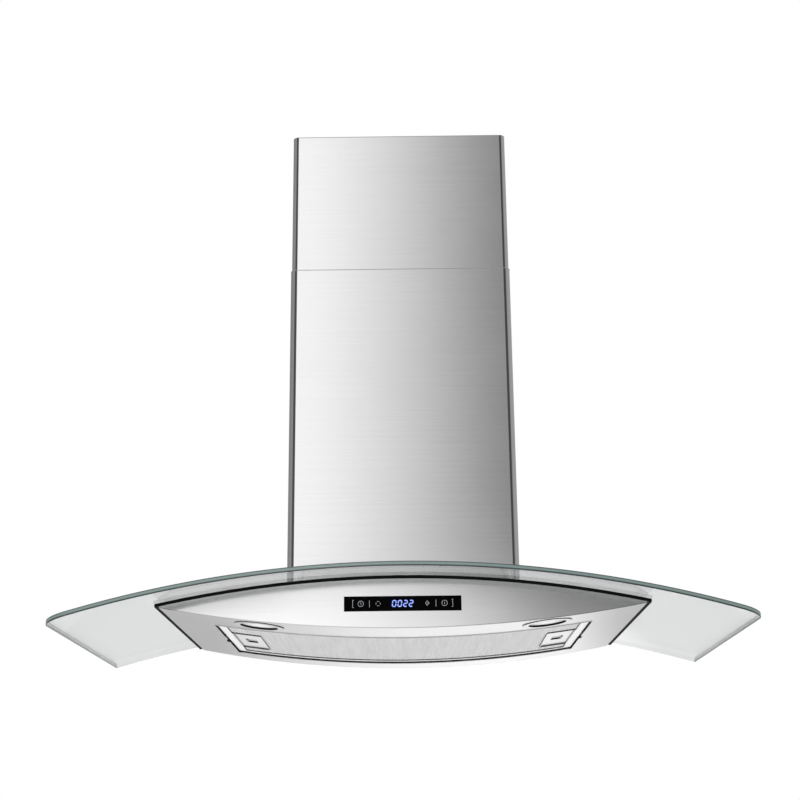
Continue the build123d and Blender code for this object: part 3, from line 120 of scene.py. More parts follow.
class Bench:
    """Node tree of one material or world, to which nodes are added by type."""

    def __init__(self, tree: bpy.types.NodeTree) -> None:
        """Take over an empty tree."""
        self.tree = tree
        tree.nodes.clear()

    def node(
        self,
        kind: str,
        settings: Mapping[str, Any] = {},
        sockets: Mapping[Union[str, int], Any] = {},
        out: Union[str, int] = 0,
    ) -> Optional[Shade]:
        """Add a node.

        Args:
            kind: the node's type.
            settings: its properties; "stops" fills a colour ramp.
            sockets: values or links of its inputs, by name or index.
            out: the output to return.

        Returns:
            The chosen output, or nothing where the node has none.
        """
        made = self.tree.nodes.new(kind)
        for key, value in settings.items():
            if key == "stops":
                self._fill(made.color_ramp, value)
            else:
                setattr(made, key, value)
        for key, value in sockets.items():
            if isinstance(value, Shade):
                self.tree.links.new(value.socket, made.inputs[key])
            else:
                made.inputs[key].default_value = value
        return Shade(self, made.outputs[out]) if len(made.outputs) else None

    @staticmethod
    def _fill(ramp: bpy.types.ColorRamp, stops: Sequence[tuple[float, Colour]]) -> None:
        """Set a ramp's stops, each a position and a colour."""
        while len(ramp.elements) < len(stops):
            ramp.elements.new(1.0)
        for element, (position, colour) in zip(ramp.elements, stops):
            element.position = position
            element.color = (*colour, 1.0)

    def place(self, stretch: Colour = (1.0, 1.0, 1.0)) -> Shade:
        """Object coordinates in metres, stretched along each axis."""
        point = self.node("ShaderNodeTexCoord", out="Object")
        return self.node("ShaderNodeMapping", {}, {"Vector": point, "Scale": stretch})

    def part(self, vector: Shade, axis: str) -> Shade:
        """One part of a vector, as a value."""
        return self.node("ShaderNodeSeparateXYZ", {}, {"Vector": vector}, axis)

    def noise(self, at: Shade, scale: float = 1.0, detail: float = 3.0, roughness: float = 0.55) -> Shade:
        """Fractal noise from 0 to 1 at a scale in features per unit."""
        sockets = {"Vector": at, "Scale": scale, "Detail": detail, "Roughness": roughness}
        return self.node("ShaderNodeTexNoise", {}, sockets, "Fac")

    def cells(self, at: Shade, scale: float, out: str, feature: str = "F1") -> Shade:
        """Voronoi cells: distance, colour or position at a scale in cells per unit."""
        sockets = {"Vector": at, "Scale": scale}
        return self.node("ShaderNodeTexVoronoi", {"feature": feature}, sockets, out)

    def pick(self, colour: Shade, channel: str = "Red") -> Shade:
        """One channel of a colour, as a value."""
        return self.node("ShaderNodeSeparateColor", {}, {"Color": colour}, channel)

    def span(
        self, value: Shade, low: float, high: float, to_low: float = 0.0, to_high: float = 1.0
    ) -> Shade:
        """Value eased from one range to another."""
        sockets = {"Value": value, "From Min": low, "From Max": high, "To Min": to_low, "To Max": to_high}
        return self.node("ShaderNodeMapRange", {"interpolation_type": "SMOOTHSTEP"}, sockets)

    def blend(self, share: Shade, first: Any, second: Any) -> Shade:
        """Mix of two colours by a share."""
        tones = [t if isinstance(t, Shade) else (*t, 1.0) for t in (first, second)]
        return self.node("ShaderNodeMix", {"data_type": "RGBA"}, {0: share, 6: tones[0], 7: tones[1]}, 2)

    def drift(self, noise: Shade, first: Colour, second: Colour) -> Shade:
        """Colour that goes from one tone to another over the middle of a noise."""
        return self.blend(self.span(noise, *NOISE_MIDDLE), first, second)

    def mix(self, share: Shade, first: Shade, second: Shade) -> Shade:
        """Mix of two shaders by a share."""
        return self.node("ShaderNodeMixShader", {}, {0: share, 1: first, 2: second})

    def lean(self, axis: str) -> Shade:
        """Size of a face normal's part along an axis of the piece."""
        normal = self.node("ShaderNodeTexCoord", out="Normal")
        return self.node("ShaderNodeMath", {"operation": "ABSOLUTE"}, {0: self.part(normal, axis)})

    def paint_wall_shade(self, tone: Shade, shade_tone: Colour, wanted: bool) -> Shade:
        """Colour with painted shade on upright faces, such as a sheet's cut edge, where that is wanted."""
        return self.blend(self.span(self.lean("Z"), *LEVEL_LEAN, 1.0, 0.0), tone, shade_tone) if wanted else tone

    def seen(self) -> Shade:
        """1 for rays from the camera, reflections and glass, and 0 for light that falls on things."""
        kinds = ("Is Camera Ray", "Is Glossy Ray", "Is Transmission Ray")
        camera, gloss, glass = (self.node("ShaderNodeLightPath", {}, {}, kind) for kind in kinds)
        return camera.most(gloss).most(glass)

    def bump(self, height: Shade, depth: float, strength: float = 1.0) -> Shade:
        """Normal of a surface raised by a height from 0 to 1 times a depth in metres."""
        return self.node("ShaderNodeBump", {}, {"Height": height, "Distance": depth, "Strength": strength})

    def surface(self, sockets: Mapping[str, Any], volume: Optional[Shade] = None) -> None:
        """Finish the material with a Principled shader.

        Args:
            sockets: values and links of the shader's inputs.
            volume: shader of the inside, for glass.
        """
        shader = self.node("ShaderNodeBsdfPrincipled", {}, sockets)
        ends = {"Surface": shader} if volume is None else {"Surface": shader, "Volume": volume}
        self.node("ShaderNodeOutputMaterial", {}, ends)


# Finishes


def grey(level: float) -> Colour:
    """Even grey of one level."""
    return (level, level, level)


# Painted shade: dark tones for upright walls, one for cut edges and one for the deep walls of the lamp
# recesses
WALL_SHADE_TONE = grey(0.10)
RECESS_SHADE_TONE = grey(0.02)


class Grain(Enum):
    """Direction of a brushed finish: the stretch of its fine lines, per metre."""

    UPRIGHT = (9.0, 9.0, 5200.0)
    LEVEL = (9.0, 5200.0, 9.0)


@dataclass(frozen=True)
class Finish:
    """A surface finish."""

    title: str

    def lay(self, bench: Bench) -> None:
        """Add the finish's nodes to a bench."""
        raise NotImplementedError

    def material(self) -> bpy.types.Material:
        """The finish's material, made on first use."""
        found = bpy.data.materials.get(self.title)
        if found is None:
            found = bpy.data.materials.new(self.title)
            found.use_nodes = True
            self.lay(Bench(found.node_tree))
        return found


@dataclass(frozen=True)
class BrushedSteel(Finish):
    """Stainless sheet with long fine brush lines, soft clouds and a trace of handling."""

    grain: Grain = Grain.UPRIGHT
    dark: Colour = grey(0.66)
    light: Colour = grey(0.75)
    rough: float = 0.10
    painted_wall_shade: bool = False
    contrast: Span = (0.25, 0.75)
    handled: Span = (0.35, 0.75)
    coarser: float = 0.1
    clouds: float = 7.0
    depth: float = 0.006 * MM

    def tone(self, bench: Bench, lines: Shade) -> Shade:
        """Colour of the sheet, between its dark and light lines, with painted shade on upright faces, such
        as cut edges, where asked.
        """
        sheet = bench.blend(bench.span(lines, *self.contrast), self.dark, self.light)
        return bench.paint_wall_shade(sheet, WALL_SHADE_TONE, self.painted_wall_shade)

    def lay(self, bench: Bench) -> None:
        """Lines are noise stretched along the brushing, fine and coarser, and clouds are slow noise."""
        stretch = self.grain.value
        fine = bench.noise(bench.place(stretch), 1.0, 3.0, 0.6)
        wide = bench.noise(bench.place(tuple(s * self.coarser for s in stretch)), 1.0, 2.0)
        cloud = bench.noise(bench.place(), self.clouds, 2.0)
        bench.surface(
            {
                "Base Color": self.tone(bench, fine * 0.7 + wide * 0.1 + cloud * 0.2),
                "Metallic": 1.0,
                "Roughness": self.rough + fine * 0.06 + bench.span(cloud, *self.handled) * 0.02,
                "Normal": bench.bump(fine, self.depth, 0.3),
            }
        )


@dataclass(frozen=True)
class ChimneySteel(BrushedSteel):
    """Brushed sheet of the chimney, with painted shade on its bends."""

    bend: Colour = (0.17, 0.17, 0.172)
    starts: Span = (0.05, 0.12)
    ends: Span = (0.30, 0.42)

    def tone(self, bench: Bench, lines: Shade) -> Shade:
        """Colour of the sheet, with painted shade on the front half of a bend, where the normal starts to
        turn aside.
        """
        aside = bench.lean("X")
        bend_shade = bench.span(aside, *self.starts) * bench.span(aside, *self.ends, 1.0, 0.0)
        return bench.blend(bend_shade, super().tone(bench, lines), self.bend)


@dataclass(frozen=True)
class FasciaSteel(BrushedSteel):
    """Brushed sheet of the front, with painted shade along its bottom fold line."""

    keel: float = -34 * MM
    bend: float = 1616 * MM
    crease: Span = (0.48 * MM, 1.6 * MM)
    shade_tone: Colour = (0.42, 0.42, 0.425)

    def tone(self, bench: Bench, lines: Shade) -> Shade:
        """Colour that fades to the painted shade tone towards the arch z = keel + x * x / (2 * bend)."""
        point = bench.node("ShaderNodeTexCoord", out="Object")
        across, level = (bench.part(point, axis) for axis in "XZ")
        over_crease = level - self.keel - across**2 * (0.5 / self.bend)
        return bench.blend(bench.span(over_crease, *self.crease), self.shade_tone, super().tone(bench, lines))


@dataclass(frozen=True)
class GalvanisedSteel(Finish):
    """Zinc-coated sheet with a spangle of pale and dark crystals."""

    dark: Colour = (0.47, 0.48, 0.49)
    light: Colour = (0.60, 0.61, 0.62)
    crystals: float = 190.0
    frosting: float = 640.0
    tears: float = 260.0
    tear: float = 6 * MM
    depth: float = 0.03 * MM

    def lay(self, bench: Bench) -> None:
        """Each crystal is one Voronoi cell with its own tone and gloss, and its edges are torn by noise."""
        at = bench.place()
        sockets = {"Vector": at, "Scale": self.tears, "Detail": 2.0}
        jag = bench.node("ShaderNodeTexNoise", {}, sockets, "Color")
        moved = {0: jag, 1: grey(self.tear), 2: at}
        torn = bench.node("ShaderNodeVectorMath", {"operation": "MULTIPLY_ADD"}, moved)
        crystal = bench.pick(bench.cells(torn, self.crystals, "Color"))
        frost = bench.noise(at, self.frosting)
        bench.surface(
            {
                "Base Color": bench.blend(crystal * 0.6 + frost * 0.4, self.dark, self.light),
                "Metallic": 0.9,
                "Roughness": 0.36 + crystal * 0.10 + frost * 0.08,
                "Normal": bench.bump(crystal * 0.4 + frost * 0.6, self.depth, 0.4),
            }
        )


@dataclass(frozen=True)
class CanopyGlass(Finish):
    """Clear toughened glass, green through its length, with faint wiping marks."""

    tint: Colour = (0.36, 0.365, 0.37)
    deep: Colour = (0.66, 0.80, 0.78)
    density: float = 2.0
    cover: float = 0.5
    refraction: float = 1.52
    wiping: Colour = (14.0, 4.0, 14.0)
    dulling: float = 0.018

    def lay(self, bench: Bench) -> None:
        """Wiping marks are stretched noise that only dulls the gloss a little."""
        wipe = bench.noise(bench.place(self.wiping))
        sockets = {"Color": (*self.deep, 1.0), "Density": self.density}
        bench.surface(
            {
                "Base Color": (*self.tint, 1.0),
                "Roughness": bench.span(wipe, 0.5, 0.8, 0.0, self.dulling),
                "IOR": self.refraction,
                "Transmission Weight": 1.0,
                "Alpha": self.cover,
            },
            bench.node("ShaderNodeVolumeAbsorption", {}, sockets),
        )


@dataclass(frozen=True)
class GroundEdge(Finish):
    """Ground and polished edge of the pane: sea green between a deep lower and a dark upper arris, both
    painted shade.
    """

    deep: Colour = (0.016, 0.024, 0.024)
    body: Colour = (0.170, 0.236, 0.224)
    pale: Colour = (0.050, 0.072, 0.070)
    bands: tuple[float, ...] = (0.28, 0.42, 0.66, 0.80)
    streaks: Colour = (18.0, 18.0, 900.0)
    depth: float = 0.02 * MM

    def lay(self, bench: Bench) -> None:
        """The attribute "across" is 0 at the lower arris and 1 at the upper; streaks follow the edge."""
        across = bench.node("ShaderNodeAttribute", {"attribute_name": "across"}, {}, "Fac")
        streak = bench.noise(bench.place(self.streaks))
        # Painted shade: the arrises are darker bands of the ramp, the lower one deepest
        stops = list(zip(self.bands, (self.deep, self.body, self.body, self.pale)))
        band = bench.node("ShaderNodeValToRGB", {"stops": stops}, {0: across})
        bench.surface(
            {
                "Base Color": bench.blend(streak * 0.2, band, self.pale),
                "Roughness": 0.16 + streak * 0.12,
                "Specular IOR Level": 1.0,
                "Normal": bench.bump(streak, self.depth, 0.3),
            }
        )


@dataclass(frozen=True)
class SealRubber(Finish):
    """Black extruded rubber with a dull bloom."""

    dark: Colour = grey(0.002)
    light: Colour = (0.007, 0.007, 0.008)
    gloss: float = 0.06
    blooms: float = 40.0
    skin: Colour = (80.0, 80.0, 2400.0)
    depth: float = 0.08 * MM

    def lay(self, bench: Bench) -> None:
        """Bloom is slow noise and the skin is fine noise along the extrusion."""
        bloom = bench.noise(bench.place(), self.blooms)
        bench.surface(
            {
                "Base Color": bench.blend(bloom, self.dark, self.light),
                "Roughness": 0.6 + bloom * 0.2,
                "Specular IOR Level": self.gloss,
                "Normal": bench.bump(bench.noise(bench.place(self.skin), 1.0, 2.0), self.depth, 0.4),
            }
        )


@dataclass(frozen=True)
class TurnedMetal(Finish):
    """Turned or cast metal with fine tool marks and a little tarnish."""

    dark: Colour = (0.52, 0.52, 0.53)
    light: Colour = (0.78, 0.78, 0.79)
    rough: float = 0.22
    tooling: float = 900.0
    depth: float = 0.04 * MM
    painted_wall_shade: bool = False
    tarnishing: float = 120.0

    def lay(self, bench: Bench) -> None:
        """Tarnish is slow noise, tool marks are fine noise, and upright walls get painted shade where asked.
        """
        tarnish = bench.noise(bench.place(), self.tarnishing)
        marks = bench.noise(bench.place(), self.tooling, 2.0)
        tone = bench.drift(tarnish, self.dark, self.light)
        bench.surface(
            {
                "Base Color": bench.paint_wall_shade(tone, RECESS_SHADE_TONE, self.painted_wall_shade),
                "Metallic": 1.0,
                "Roughness": self.rough + marks * 0.12 + tarnish * 0.08,
                "Normal": bench.bump(marks, self.depth, 0.5),
            }
        )


@dataclass(frozen=True)
class MouldedPlastic(Finish):
    """Moulded plastic with a spark-eroded texture and slight colour drift."""

    dark: Colour = (0.010, 0.010, 0.011)
    light: Colour = (0.026, 0.026, 0.028)
    rough: float = 0.42
    drifts: float = 28.0
    grains: float = 1500.0
    depth: float = 0.09 * MM

    def lay(self, bench: Bench) -> None:
        """Texture is fine noise and drift is slow noise."""
        slow = bench.noise(bench.place(), self.drifts)
        grain = bench.noise(bench.place(), self.grains, 2.0)
        bench.surface(
            {
                "Base Color": bench.drift(slow, self.dark, self.light),
                "Roughness": self.rough + grain * 0.16,
                "Normal": bench.bump(grain, self.depth, 0.5),
            }
        )


@dataclass(frozen=True)
class Granules(Finish):
    """Packed activated charcoal, each grain with its own facet gloss."""

    dark: Colour = grey(0.006)
    light: Colour = (0.035, 0.035, 0.036)
    grains: float = 420.0
    depth: float = 1.2 * MM

    def lay(self, bench: Bench) -> None:
        """Grains are Voronoi cells raised at their middles."""
        at = bench.place()
        facet = bench.pick(bench.cells(at, self.grains, "Color"))
        edge = bench.cells(at, self.grains, "Distance")
        bench.surface(
            {
                "Base Color": bench.blend(facet, self.dark, self.light),
                "Roughness": 0.85 - facet * 0.5,
                "Normal": bench.bump(1 - edge, self.depth),
            }
        )


@dataclass(frozen=True)
class MeshAluminium(Finish):
    """Rolled aluminium of the grease filter, satin with streaks across its width."""

    dark: Colour = grey(0.86)
    light: Colour = (0.95, 0.95, 0.945)
    rough: float = 0.34
    painted_wall_shade: bool = False
    metal: float = 0.2
    streaks: Colour = (240.0, 9.0, 9.0)
    specks: float = 700.0
    depth: float = 0.05 * MM

    def lay(self, bench: Bench) -> None:
        """Streaks are noise stretched front to back, and upright walls get painted shade where asked."""
        tone = bench.drift(bench.noise(bench.place(self.streaks)), self.dark, self.light)
        speck = bench.noise(bench.place(), self.specks, 2.0)
        bench.surface(
            {
                "Base Color": bench.paint_wall_shade(tone, WALL_SHADE_TONE, self.painted_wall_shade),
                "Metallic": self.metal,
                "Roughness": self.rough + speck * 0.12,
                "Normal": bench.bump(speck, self.depth, 0.4),
            }
        )


@dataclass(frozen=True)
class FibrePad(Finish):
    """Deeper layers of the filter's mesh: pale strands over duller gaps."""

    dark: Colour = grey(0.84)
    light: Colour = (0.93, 0.93, 0.925)
    gap: Colour = (0.80, 0.80, 0.805)
    metal: float = 0.2
    strands: Colour = (230.0, 420.0, 230.0)
    streaks: Colour = (200.0, 7.0, 7.0)
    depth: float = 0.6 * MM

    def lay(self, bench: Bench) -> None:
        """Strands are cells, flattened front to back, and streaks are noise stretched front to back."""
        gaps = bench.span(bench.cells(bench.place(self.strands), 1.0, "Distance"), 0.15, 0.7)
        pale = bench.drift(bench.noise(bench.place(self.streaks)), self.dark, self.light)
        bench.surface(
            {
                "Base Color": bench.blend(gaps, pale, self.gap),
                "Metallic": self.metal,
                "Roughness": 0.42 + gaps * 0.2,
                "Normal": bench.bump(1 - gaps, self.depth, 0.7),
            }
        )


@dataclass(frozen=True)
class FrostedLens(Finish):
    """Frosted acrylic of the lamps."""

    dark: Colour = (0.86, 0.865, 0.87)
    light: Colour = (0.93, 0.935, 0.94)
    frosting: float = 900.0
    depth: float = 0.03 * MM

    def lay(self, bench: Bench) -> None:
        """Frosting is fine noise on a milky base."""
        frost = bench.noise(bench.place(), self.frosting, 2.0)
        bench.surface(
            {
                "Base Color": bench.blend(frost, self.dark, self.light),
                "Roughness": 0.14 + frost * 0.10,
                "Normal": bench.bump(frost, self.depth, 0.4),
            }
        )


@dataclass(frozen=True)
class TouchGlass(Finish):
    """Gloss black glass of the control strip, with faint finger marks."""

    dark: Colour = (0.0008, 0.0008, 0.001)
    light: Colour = (0.002, 0.002, 0.0025)
    gloss: float = 0.012
    smears: Colour = (60.0, 60.0, 90.0)

    def lay(self, bench: Bench) -> None:
        """Finger marks are noise that dulls the gloss."""
        smear = bench.noise(bench.place(self.smears), 1.0, 4.0)
        bench.surface(
            {
                "Base Color": bench.blend(smear, self.dark, self.light),
                "Roughness": bench.span(smear, 0.35, 0.8, 0.05, 0.17),
                "Specular IOR Level": self.gloss,
            }
        )


@dataclass(frozen=True)
class BackLit(Finish):
    """Printed mark or digit segment with light behind it, uneven by slow noise."""

    tone: Colour
    glow: Colour
    faint: Colour
    strength: float = 1.0
    dim: float = 0.8
    patches: float = 420.0

    def lay(self, bench: Bench) -> None:
        """Light goes from faint to full over the patches, and the print is a little dimmer between them."""
        patch = bench.noise(bench.place(), self.patches, 2.0)
        bench.surface(
            {
                "Base Color": bench.blend(patch, tuple(self.dim * t for t in self.tone), self.tone),
                "Emission Color": bench.drift(patch, self.faint, self.glow),
                "Emission Strength": self.strength,
                "Roughness": 0.4 + patch * 0.1,
            }
        )


@dataclass(frozen=True)
class CircuitBoard(Finish):
    """Green lacquered board with paler tracks."""

    track: Colour = (0.10, 0.32, 0.12)
    lacquer: Colour = (0.015, 0.12, 0.045)
    cells: float = 170.0
    border: Span = (0.03, 0.07)
    depth: float = 0.1 * MM

    def lay(self, bench: Bench) -> None:
        """Tracks are the borders of Voronoi cells."""
        gap = bench.cells(bench.place(grey(self.cells)), 1.0, "Distance", "DISTANCE_TO_EDGE")
        plain = bench.span(gap, *self.border)
        bench.surface(
            {
                "Base Color": bench.blend(plain, self.track, self.lacquer),
                "Roughness": 0.3 + plain * 0.15,
                "Normal": bench.bump(1 - plain, self.depth, 0.5),
            }
        )


class Palette:
    """All finishes of the hood: those of single pieces, and the plain one of each material slot."""

    chimney = ChimneySteel("brushed steel of the chimney")
    front = FasciaSteel("brushed steel of the front")
    level = BrushedSteel(
        "brushed steel, lines across the underside", Grain.LEVEL, grey(0.60), grey(0.69), 0.16
    )
    # Painted shade on the trays' upright walls, such as their front edges
    tray = BrushedSteel("brushed steel of the latch trays", Grain.LEVEL, grey(0.80), grey(0.90), 0.30, True)
    # The hem and the pan's fold are a darker copy of the steel: painted shade along them
    hem = BrushedSteel("folded hem of the chimney", Grain.UPRIGHT, grey(0.36), grey(0.44), 0.28)
    # The deck is a lighter copy of the galvanised sheet: painted light against the shade of the glass above
    # it
    deck = GalvanisedSteel("zinc of the deck, painted lighter", (0.68, 0.69, 0.70), (0.80, 0.81, 0.82))
    # Painted shade on the rim's upright walls
    rim = MeshAluminium("rolled rim of the filter", painted_wall_shade=True)
    mesh = MeshAluminium("expanded aluminium strands")
    pad = FibrePad("inner layers of the filter")
    edge = GroundEdge("ground edge of the glass")
    ink = BackLit("backlit key marks", (0.40, 0.41, 0.42), (0.26, 0.27, 0.28), (0.18, 0.19, 0.20))
    digit = BackLit("lit blue digits", (0.10, 0.16, 0.40), (0.52, 0.62, 1.0), (0.34, 0.46, 1.0), 1.15)
    # Painted glow: the digits' light spread over the glass round them
    haze = BackLit(
        "blue haze round the digits", (0.004, 0.008, 0.03), (0.008, 0.022, 0.30), (0.005, 0.014, 0.20)
    )
    slots: dict[str, Finish] = {
        "glass": CanopyGlass("clear toughened glass"),
        "seal_rubber": SealRubber("black seal rubber"),
        "galvanised_steel": GalvanisedSteel("galvanised sheet"),
        "screw_steel": TurnedMetal("bright zinc screw"),
        "white_nylon": MouldedPlastic("white nylon", (0.66, 0.66, 0.63), (0.78, 0.78, 0.75), 0.36),
        "black_plastic": MouldedPlastic("black moulded plastic"),
        "charcoal": Granules("charcoal granules"),
        "motor_aluminium": TurnedMetal(
            "cast motor aluminium", (0.44, 0.45, 0.46), (0.62, 0.63, 0.64), 0.34, 420.0, 0.12 * MM
        ),
        # Painted shade on the lamp rings' upright walls, deep in their recesses
        "lamp_chrome": TurnedMetal(
            "polished lamp ring", (0.58, 0.58, 0.585), (0.70, 0.70, 0.705), 0.14, 600.0, 0.01 * MM, True
        ),
        "lamp_lens": FrostedLens("frosted lamp lens"),
        "touch_glass": TouchGlass("black touch glass"),
        "circuit_board": CircuitBoard("lacquered circuit board"),
        "display": BackLit(
            "display block", (0.02, 0.03, 0.08), (0.01, 0.03, 0.12), (0.005, 0.015, 0.07), 0.5
        ),
    }


# Mesh making


def make_mesh(name: str, points: Array, faces: Sequence[Array]) -> bpy.types.Object:
    """Put arrays of points and faces into a new mesh object.

    Args:
        name: the object's name.
        points: n by 3 places in metres.
        faces: arrays of point indices, one face to a row.

    Returns:
        The linked object, at the origin.
    """
    mesh = bpy.data.meshes.new(name)
    corners = np.concatenate([f.ravel() for f in faces]).astype(np.int32)
    sizes = np.concatenate([np.full(len(f), f.shape[1]) for f in faces])
    starts = np.concatenate([[0], np.cumsum(sizes)[:-1]]).astype(np.int32)
    mesh.vertices.add(len(points))
    mesh.vertices.foreach_set("co", points.astype(np.float32).ravel())
    mesh.loops.add(len(corners))
    mesh.loops.foreach_set("vertex_index", corners)
    mesh.polygons.add(len(sizes))
    mesh.polygons.foreach_set("loop_start", starts)
    mesh.update(calc_edges=True)
    mesh.validate()
    made = bpy.data.objects.new(name, mesh)
    bpy.context.scene.collection.objects.link(made)
    return made


def spread(*parts: Any) -> Array:
    """Points of a grid: their parts along each axis, spread over each other's rows and columns."""
    return np.stack(np.broadcast_arrays(*parts), axis=-1)


def turned(profile: Array, steps: int) -> Array:
    """Grid of a profile of radii and heights, turned about the upright axis in equal steps."""
    turn = np.linspace(0.0, 2 * np.pi, steps, endpoint=False)[:, None]
    return spread(profile[:, 0] * np.cos(turn), profile[:, 0] * np.sin(turn), profile[:, 1])


def flipped(faces: list[Array], wanted: bool = True) -> list[Array]:
    """Faces turned to look the other way, where that is wanted."""
    return [f[:, ::-1] for f in faces] if wanted else faces


def ring_faces(steps: int, sides: int, closed: bool) -> list[Array]:
    """Faces of a profile carried along a path.

    A profile of some sides stands at each step; quads join each side to the next profile. An open path
    gets one face at each end.

    Args:
        steps: profiles along the path.
        sides: points of the profile.
        closed: whether the last profile joins the first.

    Returns:
        Arrays of quads and end faces.
    """
    row = np.arange(steps if closed else steps - 1)[:, None]
    side = np.arange(sides)[None, :]
    here, there = row * sides, (row + 1) % steps * sides
    turn = (side + 1) % sides
    quads = np.stack([here + side, here + turn, there + turn, there + side], axis=-1).reshape(-1, 4)
    first = np.arange(sides)
    ends = np.stack([first[::-1], first + (steps - 1) * sides])
    return [quads] if closed else [quads, ends]


def turned_faces(steps: int, rings: int) -> list[Array]:
    """Faces of a profile turned about an axis, closed by a fan of triangles at each end.

    Point step * rings + ring is one place of the profile at one step of the turn. The poles follow, first
    the lower one, where the profile starts, then the upper one.

    Args:
        steps: steps of the turn.
        rings: places of the profile.

    Returns:
        Arrays of quads, lower triangles and upper triangles.
    """
    row = np.arange(steps)[:, None]
    ring = np.arange(rings - 1)[None, :]
    here, there = row * rings, (row + 1) % steps * rings
    quads = np.stack([here + ring, there + ring, there + ring + 1, here + ring + 1], axis=-1).reshape(-1, 4)
    low, high = np.full((steps, 1), steps * rings), np.full((steps, 1), steps * rings + 1)
    return [quads, np.hstack([low, there, here]), np.hstack([high, here + rings - 1, there + rings - 1])]


def shade(piece: bpy.types.Object, angle: float) -> None:
    """Smooth a piece's shading, apart from edges sharper than an angle in degrees."""
    piece.data.shade_smooth()
    piece.data.set_sharp_from_angle(angle=math.radians(angle))


def fit(piece: bpy.types.Object, body: str, slot: str, *nodes: str, finish: Optional[Finish] = None) -> None:
    """Finish a new piece and set it in the frame.

    Args:
        piece: the new object.
        body: the body it rides on.
        slot: the record's material slot.
        nodes: nodes that it stands for.
        finish: its surface, where it isn't the slot's plain one.
    """
    piece.data.materials.append((finish or Palette.slots[slot]).material())
    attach(piece, body)
    if nodes:
        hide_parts(*nodes)
    log.info("%s: %d faces on %s", piece.name, len(piece.data.polygons), body)


def paint(*nodes: str, finish: Optional[Finish] = None) -> None:
    """Give nodes of the frame a finish, in every material slot they have.

    Args:
        nodes: the nodes' names.
        finish: their surface, where it isn't the plain one of each node's own slot.
    """
    for name in nodes:
        chosen = finish or Palette.slots[NODE_SLOT[name]]
        target = frame["nodes"][name]
        if not target.material_slots:
            target.data.materials.append(chosen.material())
        for slot in target.material_slots:
            slot.material = chosen.material()
        log.info("%s: %s", name, chosen.title)


# Sub-assemblies


@dataclass
class BodyShape:
    """Arches and bowed front that the body's pieces follow, in metres."""

    half_width: float = 314 * MM
    height: float = 68 * MM
    tip_height: float = 6.4 * MM
    depth: float = 433 * MM
    bulge: float = 12 * MM

    def bend(self) -> float:
        """Radius of the underside's arch, from its half width and sag."""
        sag = (self.height - self.tip_height) / 2
        return (self.half_width**2 + sag**2) / (2 * sag)

    def keel(self, x: Array, rise: float = 0.0) -> Array:
        """Height of the underside at x, or of an arch above it about the same centre."""
        radius = self.bend()
        return radius - self.height / 2 - np.sqrt((radius - rise) ** 2 - np.square(x))

    def crown(self, x: Array, rise: Union[float, Array] = 0.0) -> Array:
        """Height of the glass's lower face at x, or of an arch above it about the same centre."""
        radius = self.bend()
        return self.height / 2 - radius + np.sqrt((radius + rise) ** 2 - np.square(x))

    def front(self, x: Array, proud: float = 0.0) -> Array:
        """Distance from the wall, at x, of the bowed front or of a face proud of it."""
        radius = (self.half_width**2 + self.bulge**2) / (2 * self.bulge) + proud
        return self.depth + proud - radius + np.sqrt(radius**2 - np.square(x))


